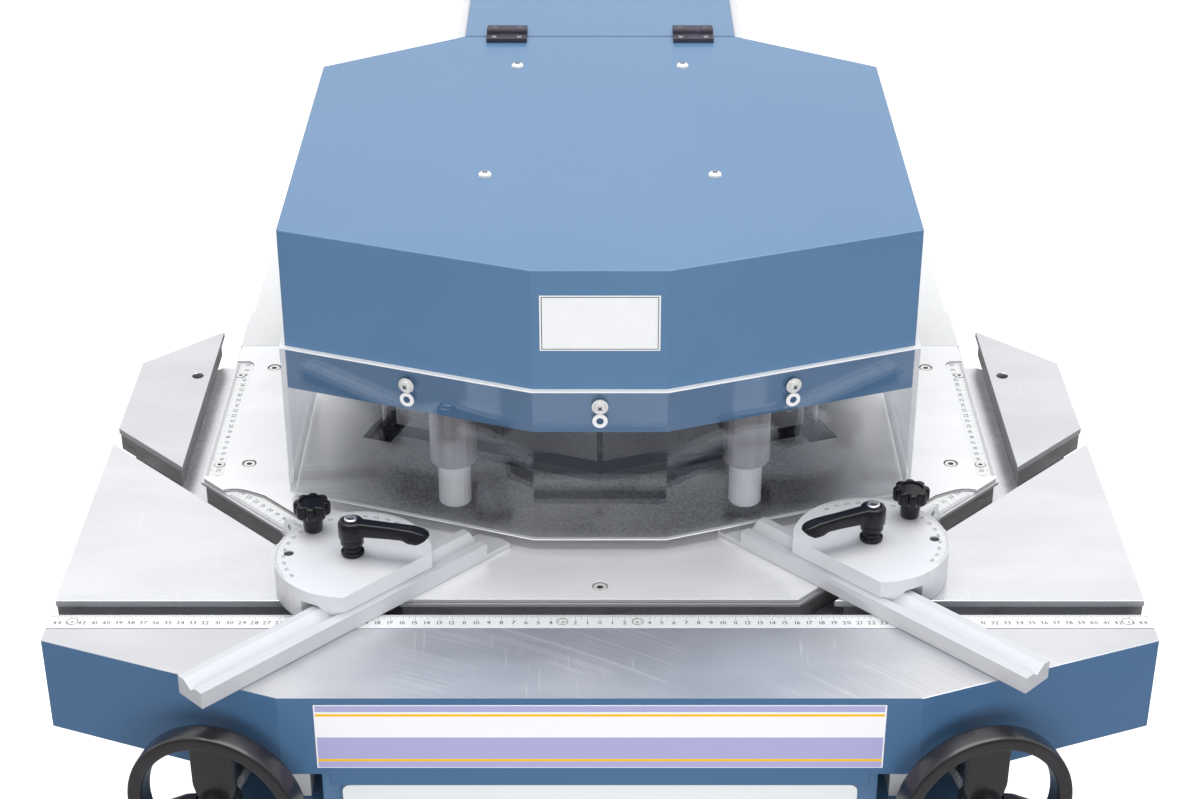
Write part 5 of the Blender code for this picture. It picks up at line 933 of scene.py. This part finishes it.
def wheel_frame(word):
    """Centre of a handwheel, and its directions forwards along the shaft, sideways and up."""
    joint = frame_joint(word + "_angle_wheel")
    forward = np.array(joint["axis"], float)
    return np.array(joint["pos_m"], float), forward, np.array((-forward[1], forward[0], 0.0)), np.array((0.0, 0.0, 1.0))


def handwheel(word):
    """Handwheel: a deep, thin rim with rounded corners, three flat straight spokes, a hub with a stepped face, a bolt."""
    centre, forward, sideways, up = wheel_frame(word)
    turn = np.linspace(0, TAU, 120, endpoint=False)

    def spun(profile):
        """Points (radius, height) carried round the shaft: centre + height forward + radius (sin t sideways + cos t up)."""
        r, h = np.asarray(profile)[:, :1, None], np.asarray(profile)[:, 1:, None]
        way = np.sin(turn)[:, None] * sideways + np.cos(turn)[:, None] * up
        return centre + h * forward + r * way

    def rounded(half_width, half_depth, power, steps):
        """A squarish oval: x = w sign(cos a) |cos a|^p, y = d sign(sin a) |sin a|^p."""
        angle = np.linspace(0, TAU, steps, endpoint=False)
        c, s = np.cos(angle), np.sin(angle)
        return np.stack([half_width * np.sign(c) * np.abs(c) ** power, half_depth * np.sign(s) * np.abs(s) ** power], -1)

    rim = rounded(0.0062, 0.0106, 0.36, 36) + (0.0660, 0)
    parts = [grid("rim", spun(rim)[::-1], wrap_rows=True, wrap_columns=True)]
    hub = [(0.0001, -0.0160), (0.0150, -0.0160), (0.0155, -0.0155), (0.0155, 0.0100), (0.0151, 0.0106), (0.0130, 0.0110),
           (0.0128, 0.0152), (0.0122, 0.0159), (0.0085, 0.0160), (0.0080, 0.0150), (0.0001, 0.0150)]
    parts.append(grid("hub", spun(hub)[::-1], wrap_columns=True, caps=True))
    section = rounded(1.0, 1.0, 0.35, 24)
    for i in range(3):
        lean = TAU * i / 3
        across = math.cos(lean) * sideways - math.sin(lean) * up
        along = math.sin(lean) * sideways + math.cos(lean) * up
        run = np.linspace(0.010, 0.063, 19)
        half = np.interp(run, (0.010, 0.020, 0.050, 0.057, 0.063), (0.0150, 0.0178, 0.0180, 0.0186, 0.0205))
        points = (centre + run[:, None, None] * along + (half[:, None] * section[:, 0])[..., None] * across
                  + (0.0044 * section[:, 1])[None, :, None] * forward)
        parts.append(grid("spoke", points, wrap_columns=True, caps=True))
    wheel = dressed(word + "_wheel_form", joined(word + "_wheel_form", parts), word + "_wheel", black_matt)
    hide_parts(word + "_handwheel")
    front = centre + 0.0150 * forward
    bolt = [(0.0028, 0.0002), (0.0030, 0.0020), (0.0034, 0.0024), (0.0050, 0.0024), (0.0055, 0.0019), (0.0056, 0.0)]
    dressed(word + "_wheel_bolt", lathe(word + "_wheel_bolt", bolt, front, forward, 32), word + "_wheel", steel_bright)
    # Dark disc of painted shade in the bolt's socket.
    recess = lathe(word + "_wheel_recess", [(0.00001, 0.0008), (0.0029, 0.0008), (0.0029, 0.0)], front, forward, 6)
    dressed(word + "_wheel_recess", recess, word + "_wheel", gap_and_recess_shade)


def worm_thread(word):
    """Four right-handed threads on the worm: radius = root + depth ridge, ridge = clip(0.5 - 1.5 cos 4(t + turns)).

    A gap faces the tooth that stands on the line between shaft and pivot when the sectors are at rest.
    """
    centre, forward, sideways, up = wheel_frame(word)
    apart = centre - np.array(frame_joint(word + "_lower_swing")["pos_m"], float)
    reach = float(apart @ forward)
    lead = 4 * TAU / 180 * (abs(float(apart @ sideways)) - 0.0141)
    along = np.linspace(-0.0398, 0.0398, 240)
    turn = np.linspace(0, TAU, 72, endpoint=False)
    ridge = np.clip(0.5 - 1.5 * np.cos(4 * (turn[None, :] + TAU * along[:, None] / lead)), 0, 1)
    ends = np.clip((0.0398 - np.abs(along)) / 0.003, 0, 1)
    radius = 0.0114 + 0.0040 * ridge * ends[:, None]
    way = np.sin(turn)[:, None] * sideways + np.cos(turn)[:, None] * up
    points = centre - (reach - along)[:, None, None] * forward + radius[..., None] * way
    return dressed(word + "_worm_thread", grid(word + "_worm_thread", points, wrap_columns=True, caps=True),
                   word + "_wheel", steel_bright)


for word, side in SIDES.items():
    pivot = np.array(frame_joint(word + "_gauge_swivel")["pos_m"], float)
    clamp_lever(word, side, pivot)
    star_knob(word, side, pivot)
    handwheel(word)
    worm_thread(word)


# ---------------------------------------------------------------- cabinet fittings

def louvres(word, side):
    """Seven pressed louvres on a side wall: each swells from the wall to a lip, height times (1 - |2u - 1|^8)^(1/2)."""
    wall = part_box("cabinet")[1].x
    profile = np.array([(0.0, 0.0), (0.0035, 0.0012), (0.0070, 0.0027), (0.0100, 0.0040), (0.0125, 0.0047), (0.0134, 0.0046),
                        (0.0134, 0.0038), (0.0131, 0.0)])
    run = np.linspace(0, 1, 25)
    swell = np.sqrt(1 - np.abs(2 * run - 1) ** 8)
    parts = []
    for i in range(7):
        top = 0.600 - 0.032 * i
        y = 0.545 + 0.150 * run
        points = np.stack([side * (wall - 0.0002 + profile[:, 1:] * swell), np.broadcast_to(y + MIDDLE, (8, 25)),
                           top - profile[:, :1] * (0.35 + 0.65 * swell)], -1)
        parts.append(grid("louvre", points[:, ::side]))
    return dressed(word + "_louvres", joined(word + "_louvres", parts), "machine", blue_paint)


def door_fittings():
    """A round quarter-turn latch with a key slot by the door's free edge."""
    low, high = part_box("front_door")
    face = np.array((high.x - 0.030, low.y, (low.z + high.z) / 2 + 0.05))
    latch = [(0.00001, 0.0040), (0.0086, 0.0040), (0.0092, 0.0052), (0.0128, 0.0054), (0.0142, 0.0046), (0.0148, 0.0030),
             (0.0150, 0.0)]
    dressed("door_latch", lathe("door_latch", latch, face, (0, -1, 0), 36), "door", black_matt)
    slot = panel("door_latch_slot", face - (0, 0.0040, 0), (1, 0, 0), (0, 0, 1), 0.0022, 0.0100, 0.0003)
    dressed("door_latch_slot", slot, "door", screw_steel)


for word, side in SIDES.items():
    louvres(word, side)
door_fittings()


# ---------------------------------------------------------------- room, light and camera

def stage_plane(name, corners, material):
    mesh = mesh_from(name, corners, [(0, 1, 2, 3)], False)
    obj = bpy.data.objects.new(name, mesh)
    bpy.context.scene.collection.objects.link(obj)
    mesh.materials.append(material)
    return obj


def studio():
    """White room: a bright back wall for the steel to mirror, a darker side behind the camera, soft light from above."""
    scene = bpy.context.scene
    scene.view_settings.view_transform = "Standard"
    floor = Finish("studio_floor", Roughness=0.9, Emission_Strength=1.0)
    seen = floor.node("ShaderNodeLightPath", {}, {}, 0)
    floor.set(Base_Color=floor.mix(seen, (0.42, 0.42, 0.43), (0.90, 0.90, 0.90)),
              Emission_Color=floor.mix(seen, (0, 0, 0), (0.48, 0.48, 0.48)))
    reach = 30.0
    stage_plane("studio_floor", [(-reach, -reach, 0), (reach, -reach, 0), (reach, reach, 0), (-reach, reach, 0)], floor.material)
    world = bpy.data.worlds.new("studio")
    scene.world = world
    world.use_nodes = True
    sky = Finish.__new__(Finish)
    sky.tree = world.node_tree
    sky.tree.nodes.clear()
    camera_ray = sky.node("ShaderNodeLightPath", {}, {}, 0)
    glossy_ray = sky.node("ShaderNodeLightPath", {}, {}, 3)
    direction = sky.node("ShaderNodeTexCoord", {}, {}, 0)
    ahead = sky.node("ShaderNodeSeparateXYZ", {}, {0: direction}, 1)
    mirrored = GLOSS_BEHIND + (GLOSS_AHEAD - GLOSS_BEHIND) * ahead.between(-0.45, 0.15)
    strength = camera_ray.most(glossy_ray * mirrored + (1 - glossy_ray) * DIFFUSE_SKY)
    light = sky.node("ShaderNodeBackground", {}, {"Color": (1.0, 1.0, 1.0), "Strength": strength})
    sky.join(sky.tree.nodes.new("ShaderNodeOutputWorld").inputs["Surface"], light)

    def softbox(name, place, target, size, power):
        lamp = bpy.data.lights.new(name, "AREA")
        lamp.shape = "RECTANGLE"
        lamp.size, lamp.size_y = size
        lamp.energy = power
        obj = bpy.data.objects.new(name, lamp)
        scene.collection.objects.link(obj)
        obj.location = place
        way = Vector(target) - Vector(place)
        obj.rotation_euler = way.to_track_quat("-Z", "Y").to_euler()
        obj.visible_glossy = name == "ceiling_light"

    softbox("ceiling_light", (0, 0.3, 3.6), (0, 0.3, 0.9), (3.0, 2.4), CEILING_POWER)
    softbox("front_light", (0.4, -3.4, 1.5), (0, 0, 0.9), (2.4, 1.4), FRONT_POWER)

    camera = bpy.data.objects.new("camera", bpy.data.cameras.new("camera"))
    scene.collection.objects.link(camera)
    camera.data.sensor_width = 36.0
    camera.data.lens = 68.25
    camera.location = at(0, -1.5209, 1.0599)
    camera.rotation_euler = (math.radians(60.7), 0, 0)
    camera.data.clip_end = 50
    scene.camera = camera


studio()
